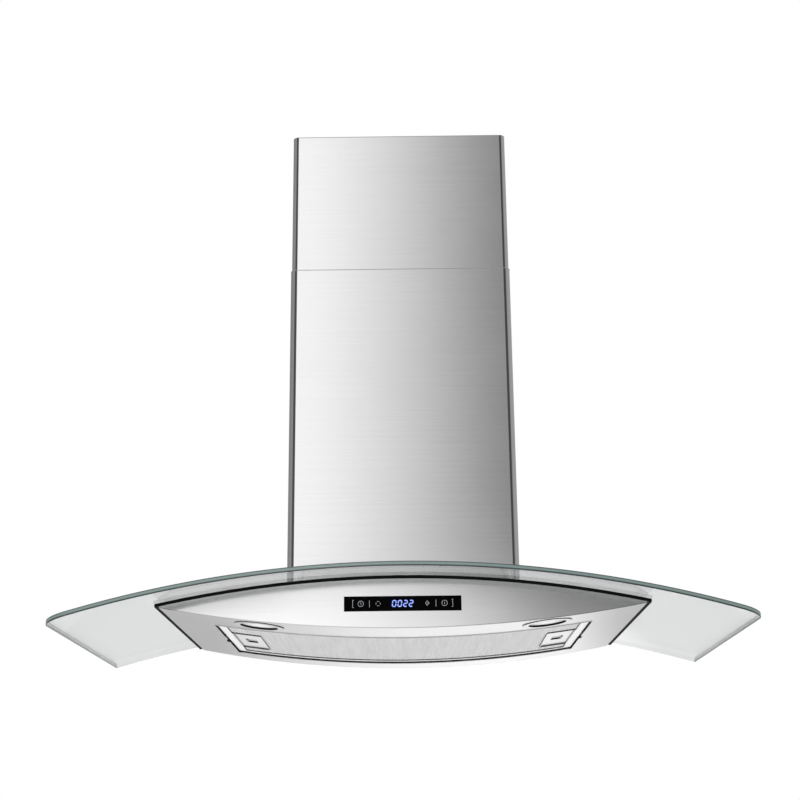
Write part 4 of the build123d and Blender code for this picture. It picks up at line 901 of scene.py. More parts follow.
@dataclass
class GreaseFilter:
    """Mesh grease filter: rim, latches, springs and the strands of its expanded metal."""

    shape: BodyShape
    recess: float = 5.0 * MM
    thickness: float = 2.5 * MM
    bite: float = 0.1 * MM
    pitch: float = 5.0 * MM
    row: float = 3.6 * MM
    strand: float = 1.2 * MM
    overlap: float = 0.3
    relief: float = 0.7 * MM
    bow_reach: float = 6.8 * MM
    bow_half: float = 10.5 * MM
    bow_strip: float = 0.5 * MM
    bow_height: float = 2.4 * MM
    bow_keep: float = 0.25
    bow_steps: int = 41

    def strands(self, rows: Array, reach: float, rise: float, relief: float) -> tuple[Array, list[Array]]:
        """Zigzag strands with a three-sided section, one for each row.

        Each strand follows y = row + swing * wave(x), where the wave is a triangle with its tips cut flat,
        and odd rows are half a wave behind, so that neighbours meet at their tips. The height follows the
        arch of the underside.

        Args:
            rows: places of the rows along Y.
            reach: half length of the strands.
            rise: height of the strands' base above the underside.
            relief: height of the section's ridge over its base, downwards if positive.

        Returns:
            Points and faces.
        """
        steps = 4 * round(2 * reach / self.pitch) + 1
        x = np.linspace(-reach, reach, steps)
        phase = np.arange(steps)[None, :] + 2 * (np.arange(len(rows)) % 2)[:, None]
        wave = np.array([0.0, 1.0, 1.0, 0.0])[phase % 4] - 0.5
        y = rows[:, None] + wave * (self.row - self.overlap * self.strand)
        across = np.array([-0.5, 0.0, 0.5]) * self.strand
        sink = np.array([0.0, relief, 0.0])
        points = spread(x[:, None], y[:, :, None] + across, self.shape.keel(x, rise)[:, None] - sink)
        shift = (np.arange(len(rows)) * steps * 3)[:, None, None]
        faces = [(f[None] + shift).reshape(-1, f.shape[1]) for f in ring_faces(steps, 3, False)]
        return points.reshape(-1, 3), flipped(faces, relief < 0)

    def layer(self, name: str, rise: float, relief: float) -> bpy.types.Object:
        """One layer of expanded metal, kept clear of the latch pockets.

        Args:
            name: the piece's name.
            rise: height of its base above the underside.
            relief: height of its strands, downwards if positive.

        Returns:
            The new object.
        """
        pad_low, pad_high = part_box("filter_mesh")
        tray_low, tray_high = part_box("latch_plate_right")
        count = int((pad_high[1] - pad_low[1]) / self.row)
        rows = (pad_low[1] + pad_high[1]) / 2 + (np.arange(count) - (count - 1) / 2) * self.row
        outer = (rows < tray_low[1] - self.row) | (rows > tray_high[1] + self.row)
        long_points, long_faces = self.strands(rows[outer], pad_high[0], rise, relief)
        short_points, short_faces = self.strands(rows[~outer], tray_low[0], rise, relief)
        faces = long_faces + [f + len(long_points) for f in short_faces]
        return make_mesh(name, np.concatenate([long_points, short_points]), faces)

    def bow_spring(self, side: str) -> None:
        """Bowed strip behind a latch, in its resting bow; nothing here flattens it as the latch is drawn in.

        In the latch's plane the strip follows the arc along = foot + R - sag - sqrt(R * R - v * v) over its
        half length, with a rectangular section.

        Args:
            side: left or right.
        """
        joint = f"latch_{side}_slide"
        rows = frame["record"]["behaviour"]["joints"]
        slide = np.array(next(row["axis"] for row in rows if row["name"] == joint))
        upwards = np.array([-slide[2], 0.0, slide[0]]) * np.sign(slide[0])
        middle = np.mean(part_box(f"latch_spring_{side}"), axis=0)
        v = np.linspace(-self.bow_half, self.bow_half, self.bow_steps)[:, None]
        sag = self.bow_reach - self.bow_strip
        radius = (self.bow_half**2 + sag**2) / (2 * sag)
        foot = self.bow_reach / 2 - self.bow_strip * np.array([1.0, 1.0, 0.0, 0.0])
        along = foot + radius - sag - np.sqrt(radius**2 - v**2)
        rise = self.bow_height * np.array([-0.5, 0.5, 0.5, -0.5]) + 0 * v
        points = middle + along[..., None] * slide + rise[..., None] * upwards
        points[..., 1] += v
        faces = flipped(ring_faces(self.bow_steps, 4, False), slide[0] < 0)
        piece = make_mesh(f"bow_spring_{side}", points.reshape(-1, 3), faces)
        fit(piece, "grease_filter", "galvanised_steel", f"latch_spring_{side}")
        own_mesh(piece)

    def dress(self) -> None:
        """Paint the filter's nodes, set the springs and lay strands on each face of the pad."""
        paint("filter_frame", finish=Palette.rim)
        paint("filter_mesh", finish=Palette.pad)
        for side, _ in SIDES:
            paint(f"latch_plate_{side}", finish=Palette.tray)
            paint(f"latch_slider_{side}")
            self.bow_spring(side)
        low = self.layer("filter_strands_lower", self.recess + self.bite, self.relief)
        high = self.layer("filter_strands_upper", self.recess + self.thickness - self.bite, -self.relief)
        for piece in (low, high):
            fit(piece, "grease_filter", "filter_aluminium", finish=Palette.mesh)


@dataclass
class ControlStrip:
    """Touch strip: key marks and lit digits on the bowed black glass.

    The clock's hands, the power bar, the broken ring, the flame and its dot are in shares of a key's radius.
    """

    shape: BodyShape
    nodes: tuple[str, ...] = ("touch_panel", "control_housing", "control_board", "display_module")
    centre: float = -2.6 * MM
    proud: float = 0.6 * MM
    lift: float = 0.06 * MM
    line: float = 0.19 * MM
    line_steps: int = 6
    key_places: tuple[float, ...] = (31.4 * MM, 42.5 * MM, 53.6 * MM, 64.0 * MM)
    key_radius: float = 3.5 * MM
    key_steps: int = 48
    bracket: Span = (1.5 * MM, 4.9 * MM)
    bar_half: float = 4.4 * MM
    clock: tuple[Span, ...] = ((-0.3, 0.55), (0.0, 0.0), (0.35, -0.5))
    power_half: float = 0.4
    power_bold: float = 1.2
    ring: float = 0.8
    ring_half: float = 28.0
    flame_tall: float = 0.86
    flame_slim: float = 0.8
    flame_waist: float = 0.32
    flame_steps: int = 40
    dot: float = 0.1
    digit_size: Span = (4.3 * MM, 7.6 * MM)
    digit_pitch: float = 7.2 * MM
    digit_line: float = 0.46 * MM
    digit_slant: float = 0.09
    segment_stops: tuple[float, ...] = (0.06, 0.18, 0.82, 0.94)
    segment_widths: tuple[float, ...] = (0.08, 1.0, 1.0, 0.08)
    haze_spread: float = 3.0
    haze_lift: float = 0.03 * MM
    reading: str = "0022"

    def ribbon(
        self, path: Array, half_width: Union[float, Array], lift: float, closed: bool
    ) -> tuple[Array, list[Array]]:
        """Thin raised line on the strip.

        A rectangle, as wide as the line and as high as its lift, is carried along a path in the strip's
        plane, and then set on the bowed glass.

        Args:
            path: n by 2 places, right and up from the strip's middle.
            half_width: half the line's width, or one for each place.
            lift: height of the line over the glass.
            closed: whether the path returns to its start.

        Returns:
            Points and faces.
        """
        if closed:
            along = np.roll(path, -1, axis=0) - np.roll(path, 1, axis=0)
        else:
            along = np.gradient(path, axis=0)
        along = along / np.linalg.norm(along, axis=1, keepdims=True)
        side = np.stack([-along[:, 1], along[:, 0]], axis=1) * np.reshape(half_width, (-1, 1))
        left, right = path + side, path - side
        corners = np.stack([left, left, right, right], axis=1)
        height = np.array([0.0, 1.0, 1.0, 0.0]) * lift
        depth = self.shape.front(corners[..., 0], self.proud) + height
        points = np.stack([corners[..., 0], -depth, corners[..., 1] + self.centre], axis=-1)
        return points.reshape(-1, 3), ring_faces(len(path), 4, closed)

    def circle(self, x: float, radius: float) -> Line:
        """Whole circle about a key's middle."""
        return self.arc(x, radius, 0.0, 360.0)[0][:-1], self.line, True

    def arc(self, x: float, radius: float, start: float, stop: float) -> Line:
        """Arc about a key's middle, between two angles in degrees."""
        angle = np.radians(np.linspace(start, stop, self.key_steps + 1))
        return np.stack([x + radius * np.cos(angle), radius * np.sin(angle)], axis=1), self.line, False

    def stroke(self, start: Span, stop: Span, bold: float = 1.0) -> Line:
        """Straight line between two places."""
        share = np.linspace(0.0, 1.0, self.line_steps)[:, None]
        return start + np.subtract(stop, start) * share, bold * self.line, False

    def key_lines(self) -> list[Line]:
        """Paths of all key marks: brackets, bars, clock, broken ring, flame and power."""
        near, bar, key, edge = self.key_places
        radius, (depth, half) = self.key_radius, self.bracket
        lines: list[Line] = []
        for _, sign in SIDES:
            lines += [
                self.stroke((sign * bar, -self.bar_half), (sign * bar, self.bar_half)),
                self.circle(sign * key, radius),
                self.stroke((sign * edge, half), (sign * edge, -half)),
            ]
            for level in (half - self.line, self.line - half):
                lines.append(self.stroke((sign * (edge - depth), level), (sign * edge, level)))
        hands = [(radius * a - key, radius * b) for a, b in self.clock]
        lines += [self.stroke(start, stop) for start, stop in zip(hands, hands[1:])]
        reach = self.power_half * radius
        lines.append(self.stroke((key, reach), (key, -reach), self.power_bold))
        for turn in (0.0, 90.0, 180.0, 270.0):
            lines.append(self.arc(-near, self.ring * radius, turn - self.ring_half, turn + self.ring_half))
        angle = np.linspace(0, 2 * np.pi, self.flame_steps, endpoint=False)
        swell = self.flame_tall * radius * (1.0 - self.flame_waist * np.abs(np.sin(2 * angle)))
        flame = np.stack([near + self.flame_slim * swell * np.cos(angle), swell * np.sin(angle)], axis=1)
        lines.append((flame, self.line, True))
        lines.append(self.circle(near, self.dot * radius))
        return lines

    def digit_lines(self) -> list[Line]:
        """Paths of the lit segments, pointed at their ends and leaning to the right."""
        half, tall = self.digit_size[0] / 2, self.digit_size[1] / 2
        ends = {
            "a": ((-half, tall), (half, tall)),
            "b": ((half, tall), (half, 0)),
            "c": ((half, 0), (half, -tall)),
            "d": ((-half, -tall), (half, -tall)),
            "e": ((-half, 0), (-half, -tall)),
            "f": ((-half, tall), (-half, 0)),
            "g": ((-half, 0), (half, 0)),
        }
        lit = {"0": "abcdef", "2": "abdeg"}
        share = np.array(self.segment_stops)[:, None]
        width = np.array(self.segment_widths) * self.digit_line
        lines: list[Line] = []
        for place, sign in enumerate(self.reading):
            middle = (place - (len(self.reading) - 1) / 2) * self.digit_pitch
            for segment in lit[sign]:
                start, stop = np.array(ends[segment], float)
                path = start + (stop - start) * share
                path[:, 0] += middle + self.digit_slant * path[:, 1]
                lines.append((path, width, False))
        return lines

    def print_lines(self, name: str, lines: Sequence[Line], lift: float, finish: Finish, slot: str) -> None:
        """Join lines into one piece on the strip.

        Args:
            name: the piece's name.
            lines: path, half width and whether it closes, for each line.
            lift: height of the lines over the glass.
            finish: its surface.
            slot: the record's material slot.
        """
        points: list[Array] = []
        faces: list[Array] = []
        count = 0
        for path, width, closed in lines:
            made, sides = self.ribbon(path, width, lift, closed)
            faces += [f + count for f in sides]
            points.append(made)
            count += len(made)
        fit(make_mesh(name, np.concatenate(points), faces), "hood", slot, finish=finish)

    def dress(self) -> None:
        """Paint the strip and its electronics, and print its marks."""
        paint(*self.nodes)
        digits = self.digit_lines()
        # Painted glow: wider ribbons round each digit give off the digits' light on the glass
        haze = [(path, width * self.haze_spread, closed) for path, width, closed in digits]
        self.print_lines("touch_marks", self.key_lines(), self.lift, Palette.ink, "touch_glass")
        self.print_lines("display_digits", digits, self.lift, Palette.digit, "display")
        self.print_lines("display_haze", haze, self.haze_lift, Palette.haze, "display")


@dataclass
class Lamps:
    """Two recessed lamps with ribbed lenses."""

    shape: BodyShape
    place: float = 188 * MM
    depth: float = 386.5 * MM
    recess: float = 2 * MM
    radius: float = 26 * MM
    thickness: float = 2 * MM
    ribs: int = 14
    rib_steps: int = 8
    rib_height: float = 0.14 * MM
    steps: int = 96
    sharp: float = 60.0

    def lens(self, name: str, sign: int) -> bpy.types.Object:
        """Disc with round ribs below, turned about the lamp's axis.

        The lower face's height is the rib height times the square of a sine of the radius; the outline
        turns about the axis, which stands square to the underside's arch.

        Args:
            name: the piece's name.
            sign: -1 for the left lamp and 1 for the right.

        Returns:
            The new object.
        """
        radii = np.linspace(0.0, 1.0, self.rib_steps * self.ribs + 1)[1:]
        rib = np.square(np.sin(np.pi * self.ribs * radii)) * self.rib_height
        back = np.array([[self.radius, self.thickness], [0.5 * self.radius, self.thickness]])
        profile = np.concatenate([np.stack([radii * self.radius, rib], axis=1), back])
        poles = [[0, 0, 0], [0, 0, self.thickness]]
        flat = np.concatenate([turned(profile, self.steps).reshape(-1, 3), poles])
        x = sign * self.place
        tilt = math.asin(x / self.shape.bend())
        right = np.array([math.cos(tilt), 0.0, math.sin(tilt)])
        up = np.array([-math.sin(tilt), 0.0, math.cos(tilt)])
        foot = np.array([x, -self.depth, float(self.shape.keel(np.array(x)))]) + up * self.recess
        points = foot + flat[:, :1] * right + flat[:, 1:2] * np.array([0.0, 1.0, 0.0]) + flat[:, 2:] * up
        return make_mesh(name, points, turned_faces(self.steps, len(profile)))

    def dress(self) -> None:
        """Paint the rings, cans and driver, and put ribbed lenses in place of the plain ones."""
        for side, sign in SIDES:
            paint(f"lamp_bezel_{side}", f"lamp_can_{side}")
            piece = self.lens(f"lamp_ribbed_lens_{side}", sign)
            shade(piece, self.sharp)
            fit(piece, "hood", "lamp_lens", f"lamp_lens_{side}")
        paint("led_driver")


@dataclass
class Canopy:
    """Bent glass with its ground edge, seal, screws and bushes."""

    shape: BodyShape
    half_width: float = 450 * MM
    side_depth: float = 480 * MM
    bulge: float = 20 * MM
    corner: float = 30 * MM
    thickness: float = 6 * MM
    notch: Span = (150 * MM, 255 * MM)
    arris: float = 0.7 * MM
    wrap: float = 0.9 * MM
    skin: float = 0.03 * MM
    hair: float = 0.001 * MM
    side_steps: int = 24
    corner_steps: int = 16
    front_steps: int = 160
    notch_steps: int = 60
    back_rows: int = 12
    front_rows: int = 32
    sharp: float = 30.0
    nodes: tuple[str, ...] = ("glass_seal", "glass_screws", "glass_washers")

    def outline(self) -> tuple[Array, Array]:
        """Plan of the pane's free edge, from the wall round the front and back to the wall.

        Each side is straight, each corner is an arc tangent to it and to the front, and the front is a
        wide arc that bows out by the bulge.

        Returns:
            Places along the edge, and the outward direction at each.
        """
        radius = (self.half_width**2 + self.bulge**2) / (2 * self.bulge)
        centre = radius - self.side_depth - self.bulge
        corner_x = self.half_width - self.corner
        corner_y = centre - math.sqrt((radius - self.corner) ** 2 - corner_x**2)
        lean = math.atan2(corner_x, centre - corner_y)
        front = np.linspace(-lean, lean, self.front_steps + 1)
        bend = np.linspace(-np.pi / 2, -lean, self.corner_steps + 1)[:-1]
        side = np.linspace(0.0, corner_y, self.side_steps + 1)[:-1]
        aside = np.full(self.side_steps, np.pi / 2)
        angle = np.concatenate([-aside, bend, front, -bend[::-1], aside])
        outward = np.stack([np.sin(angle), -np.cos(angle)], axis=1)
        arc = np.stack([radius * np.sin(front), centre - radius * np.cos(front)], axis=1)
        bent = outward[self.side_steps : self.side_steps + self.corner_steps]
        left = np.array([-corner_x, corner_y]) + self.corner * bent
        wall = np.stack([np.full(self.side_steps, -self.half_width), side], axis=1)
        mirror = np.array([-1.0, 1.0])
        return np.concatenate([wall, left, arc, left[::-1] * mirror, wall[::-1] * mirror]), outward

    def pane(self) -> bpy.types.Object:
        """Bent pane, with its lower and upper faces as fine grids.

        Columns stand at the outline's places across the pane. Each runs from the wall to the notch's depth,
        and on to the front edge; those between the notch's sides start at its depth. Heights follow the
        arch, and a wall of quads closes the two faces along their common border.

        Returns:
            The new object.
        """
        path, _ = self.outline()
        half, deep = self.notch
        start = self.back_rows
        border = path[self.side_steps : -self.side_steps]
        notch = np.linspace(-half, half, self.notch_steps + 1)
        x = np.unique(np.round(np.concatenate([border[:, 0], notch]), 9))
        front = np.interp(x, border[:, 0], border[:, 1])
        share = np.linspace(0.0, 1.0, self.front_rows + 1)[None, :]
        back = np.broadcast_to(-deep * np.linspace(0.0, 1.0, start + 1)[None, :-1], (len(x), start))
        y = np.concatenate([back, -deep + (front[:, None] + deep) * share], axis=1)
        columns, rows = y.shape
        plan = spread(x[:, None], y)
        levels = [self.shape.crown(plan[..., :1], rise) for rise in (0.0, self.thickness)]
        points = np.concatenate([np.concatenate([plan, z], axis=-1).reshape(-1, 3) for z in levels])
        index = np.arange(columns * rows).reshape(columns, rows)
        left, right = np.searchsorted(x, (-half - self.hair, half - self.hair))
        column, row = np.arange(columns - 1)[:, None], np.arange(rows - 1)[None, :]
        kept = ~((column >= left) & (column < right) & (row < start))
        upper = np.stack([index[:-1, :-1], index[:-1, 1:], index[1:, 1:], index[1:, :-1]], axis=-1)[kept]
        loop = np.concatenate(
            [
                index[0, :-1],
                index[:-1, -1],
                index[-1, :0:-1],
                index[:right:-1, 0],
                index[right, :start],
                index[right:left:-1, start],
                index[left, start:0:-1],
                index[left:0:-1, 0],
            ]
        )
        after = np.roll(loop, -1)
        above = columns * rows
        walls = np.stack([loop, after, after + above, loop + above], axis=1)
        quads = np.concatenate([upper[:, ::-1], upper + above, walls])
        used, compact = np.unique(quads, return_inverse=True)
        return make_mesh("glass_pane", points[used], [compact.reshape(-1, 4)])

    def edge(self) -> bpy.types.Object:
        """Ground edge of the pane.

        A thin shell, whose section wraps round the edge with an arris at its foot and head, is carried
        along the outline; each point's height follows the pane's arch.

        Returns:
            The new object.
        """
        path, outward = self.outline()
        out = np.array([-self.wrap, -self.arris, 0.0, 0.0, -self.arris, -self.wrap]) + self.skin
        across = np.array([1.0, 1.0, 0.8, 0.2, 0.0, 0.0])
        head = self.thickness + self.skin
        rise = np.array([head, head, self.thickness - self.arris, self.arris, -self.skin, -self.skin])
        plan = path[:, None, :] + outward[:, None, :] * out[None, :, None]
        points = spread(plan[..., 0], plan[..., 1], self.shape.crown(plan[..., 0], rise)).reshape(-1, 3)
        piece = make_mesh("glass_ground_edge", points, ring_faces(len(path), len(out), False))
        layer = piece.data.attributes.new("across", "FLOAT", "POINT")
        layer.data.foreach_set("value", np.tile(across, len(path)).astype(np.float32))
        return piece

    def dress(self) -> None:
        """Paint the canopy's nodes, put a smooth pane in place of the plain one and add its ground edge."""
        paint(*self.nodes)
        pane, edge = self.pane(), self.edge()
        for piece in (pane, edge):
            shade(piece, self.sharp)
        fit(pane, "hood", "glass", "glass_canopy")
        fit(edge, "hood", "glass", finish=Palette.edge)


@dataclass
class Shell:
    """Sheet metal of the body and the chimney."""

    shape: BodyShape
    chimney: tuple[str, ...] = ("chimney_lower", "chimney_upper")
    plain: tuple[str, ...] = (
        "back_panel", "motor_box", "upper_bracket", "chimney_clip_left", "chimney_clip_right",
    )
    root: float = 0.2 * MM
    round_steps: int = 9
    sharp: float = 50.0
    chimney_corner: float = 10 * MM
    corner_steps: int = 13
    hem_start: float = 6 * MM
    hem_height: float = 1.1 * MM
    hem_proud: float = 0.3 * MM
    opening_gap: float = 2.2 * MM
    fold_proud: float = 0.8 * MM
    fold_half: float = 0.8 * MM
    fold_steps: int = 121

    def hem(self, name: str, cover: str) -> bpy.types.Object:
        """Folded hem along the top edge of a chimney cover.

        A flattened half round, as high as the hem, is carried round the cover's two sides, front and
        rounded front corners, just under its top edge.

        Args:
            name: the piece's name.
            cover: the node whose box gives the hem's place.

        Returns:
            The new object.
        """
        low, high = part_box(cover)
        reach = high[0] - self.chimney_corner
        bend = np.linspace(-np.pi / 2, 0.0, self.corner_steps)
        angle = np.concatenate([[-np.pi / 2], bend, -bend[::-1], [np.pi / 2]])
        outward = np.stack([np.sin(angle), -np.cos(angle)], axis=1)
        middle = np.repeat([[-reach, 0.0], [reach, 0.0]], len(angle) // 2, axis=0)
        middle[:, 1] = low[1] + self.chimney_corner
        middle[[0, -1], 1] = -self.hem_start
        path = middle + outward * self.chimney_corner
        turn = np.linspace(np.pi / 2, -np.pi / 2, self.round_steps)
        out = np.concatenate([[-self.root], self.hem_proud * np.cos(turn), [-self.root]])
        rise = np.concatenate([[1.0], np.sin(turn), [-1.0]]) * self.hem_height / 2
        plan = path[:, None, :] + outward[:, None, :] * out[None, :, None]
        points = spread(plan[..., 0], plan[..., 1], high[2] - self.hem_height / 2 + rise).reshape(-1, 3)
        return make_mesh(name, points, ring_faces(len(path), len(out), False))

    def fold(self) -> bpy.types.Object:
        """Rolled fold along the front edge of the filter's opening.

        A half round under the pan is carried across the opening, at the height of the pan's arch.

        Returns:
            The new object.
        """
        low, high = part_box("filter_frame")
        across = np.linspace(-high[0], high[0], self.fold_steps)
        turn = np.linspace(0.0, np.pi, self.round_steps)
        back = np.concatenate([[1.0], np.cos(turn), [-1.0]]) * self.fold_half
        drop = np.concatenate([[-self.root], self.fold_proud * np.sin(turn), [-self.root]])
        y = low[1] - self.opening_gap - self.fold_half + back
        points = spread(across[:, None], y, self.shape.keel(across)[:, None] - drop).reshape(-1, 3)
        return make_mesh("pan_fold", points, flipped(ring_faces(self.fold_steps, len(back), False)))

    def dress(self) -> None:
        """Paint the sheets, with the brush lines along their width, and add their hems and fold."""
        paint("front_fascia", finish=Palette.front)
        paint(*self.chimney, finish=Palette.chimney)
        paint("bottom_pan", finish=Palette.level)
        # Painted light: the deck is painted lighter than the galvanised sheet
        paint("top_deck", finish=Palette.deck)
        paint(*self.plain)
        for piece, body in (
            (self.hem("chimney_hem", "chimney_lower"), "hood"),
            (self.hem("chimney_top_hem", "chimney_upper"), "upper_chimney"),
            (self.fold(), "hood"),
        ):
            shade(piece, self.sharp)
            # Darker hem tone: painted shade along the hems and the fold
            fit(piece, body, "brushed_steel", finish=Palette.hem)


@dataclass
class SideScrews:
    """Pan-head screws on the chimney's two sides, each with a cross recess."""

    nodes: tuple[str, ...] = ("upper_bracket_screws", "chimney_clip_screws")
    head_height: float = 2.4 * MM
    dome_drop: float = 0.45
    dome_power: float = 2.5
    dome_steps: int = 28
    pole_share: float = 0.03
    shank_radius: float = 2 * MM
    shank_length: float = 6.4 * MM
    slot_half: float = 0.45 * MM
    slot_reach: float = 2.2 * MM
    slot_depth: float = 1.2 * MM
    soften: float = 0.2 * MM
    steps: int = 64
    sharp: float = 40.0

    def screw(self, radius: float) -> Array:
        """Points of one screw along +Z, with its seat at the origin.

        The profile runs up the shank, out under the head, up its rim and in over a dome whose height falls
        with a power of the radius. The cross is two bars that sink into the dome with soft walls.

        Args:
            radius: the head's radius.

        Returns:
            Points of the turned grid, then its lower and upper poles.
        """
        stem, length = self.shank_radius, self.shank_length
        foot = np.array([[0.5 * stem, -length], [stem, -0.8 * length], [stem, 0], [radius, 0]])
        share = np.linspace(1.0, self.pole_share, self.dome_steps)
        height = self.head_height * (1 - self.dome_drop * share**self.dome_power)
        profile = np.concatenate([foot, np.stack([radius * share, height], axis=1)])
        grid = turned(profile, self.steps)
        x, y = grid[..., 0], grid[..., 1]
        inside = [
            np.clip((self.slot_half - np.abs(b)) / self.soften + 0.5, 0, 1)
            * np.clip((self.slot_reach - np.abs(a)) / self.soften + 0.5, 0, 1)
            for a, b in ((x, y), (y, x))
        ]
        grid[..., 2] -= np.maximum(*inside) * self.slot_depth * (np.arange(len(profile)) > len(foot))
        poles = [[0, 0, -length], [0, 0, self.head_height - self.slot_depth]]
        return np.concatenate([grid.reshape(-1, 3), poles])

    def pair(self, node: str) -> bpy.types.Object:
        """Two screws that stand for a node's pair, one on each side.

        Args:
            node: the node whose box gives the heads' places and size.

        Returns:
            The new object.
        """
        low, high = (np.array(corner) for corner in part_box(node))
        middle = (low + high) / 2
        one = self.screw((high[1] - low[1]) / 2)
        seat = high[0] - self.head_height
        sides = [
            np.stack([s * (one[:, 2] + seat), s * one[:, 0] + middle[1], one[:, 1] + middle[2]], axis=1)
            for s in (1, -1)
        ]
        faces = turned_faces(self.steps, (len(one) - 2) // self.steps)
        both = faces + [f + len(one) for f in faces]
        return make_mesh(node.replace("_screws", "_cross_screws"), np.concatenate(sides), both)

    def dress(self) -> None:
        """Put cross-recess screws in place of the plain ones."""
        for node in self.nodes:
            piece = self.pair(node)
            shade(piece, self.sharp)
            fit(piece, NODE_BODY[node], "screw_steel", node)


@dataclass
class Blower:
    """Scroll, motor, impeller, charcoal filters, outlet and electrical boxes."""

    starts: tuple[str, ...] = (
        "blower_", "inlet_", "carbon_", "motor_can", "motor_end", "motor_shaft", "impeller", "shaft_",
        "duct_", "collar_", "damper_", "junction_", "cable_", "run_", "capacitor_",
    )

    def dress(self) -> None:
        """Paint the blower's nodes."""
        paint(*(name for name in NODE_SLOT if name.startswith(self.starts)))


# Studio and camera


@dataclass(frozen=True)
class PaleFloor(Finish):
    """Matt floor that keeps the hood's shadow, looks white from above and is clear from below."""

    glow: float = 0.6
    dark: Colour = grey(0.86)
    light: Colour = grey(0.89)
    patches: float = 1.5

    def lay(self, bench: Bench) -> None:
        """A share of white light is mixed in for rays that see the floor."""
        tone = bench.blend(bench.noise(bench.place(), self.patches, 2.0), self.dark, self.light)
        matt = bench.node("ShaderNodeBsdfDiffuse", {}, {"Color": tone})
        white = bench.node("ShaderNodeEmission", {}, {"Color": WHITE, "Strength": 1.0})
        pale = bench.mix(bench.seen() * self.glow, matt, white)
        under = bench.node("ShaderNodeNewGeometry", {}, {}, "Backfacing")
        whole = bench.mix(under, pale, bench.node("ShaderNodeBsdfTransparent"))
        bench.node("ShaderNodeOutputMaterial", {}, {"Surface": whole})


@dataclass(frozen=True)
class PanelGlow(Finish):
    """Light of the studio's panels, clear to all rays that no gloss has sent there."""

    def lay(self, bench: Bench) -> None:
        """The attribute "glow" is the light's level."""
        level = bench.node("ShaderNodeAttribute", {"attribute_name": "glow"}, {}, "Color")
        light = bench.node("ShaderNodeEmission", {}, {"Color": level, "Strength": 1.0})
        bounces = bench.node("ShaderNodeLightPath", {}, {}, "Glossy Depth")
        struck = bench.node("ShaderNodeMath", {"operation": "GREATER_THAN"}, {0: bounces, 1: 0.5})
        whole = bench.mix(struck, bench.node("ShaderNodeBsdfTransparent"), light)
        bench.node("ShaderNodeOutputMaterial", {}, {"Surface": whole})


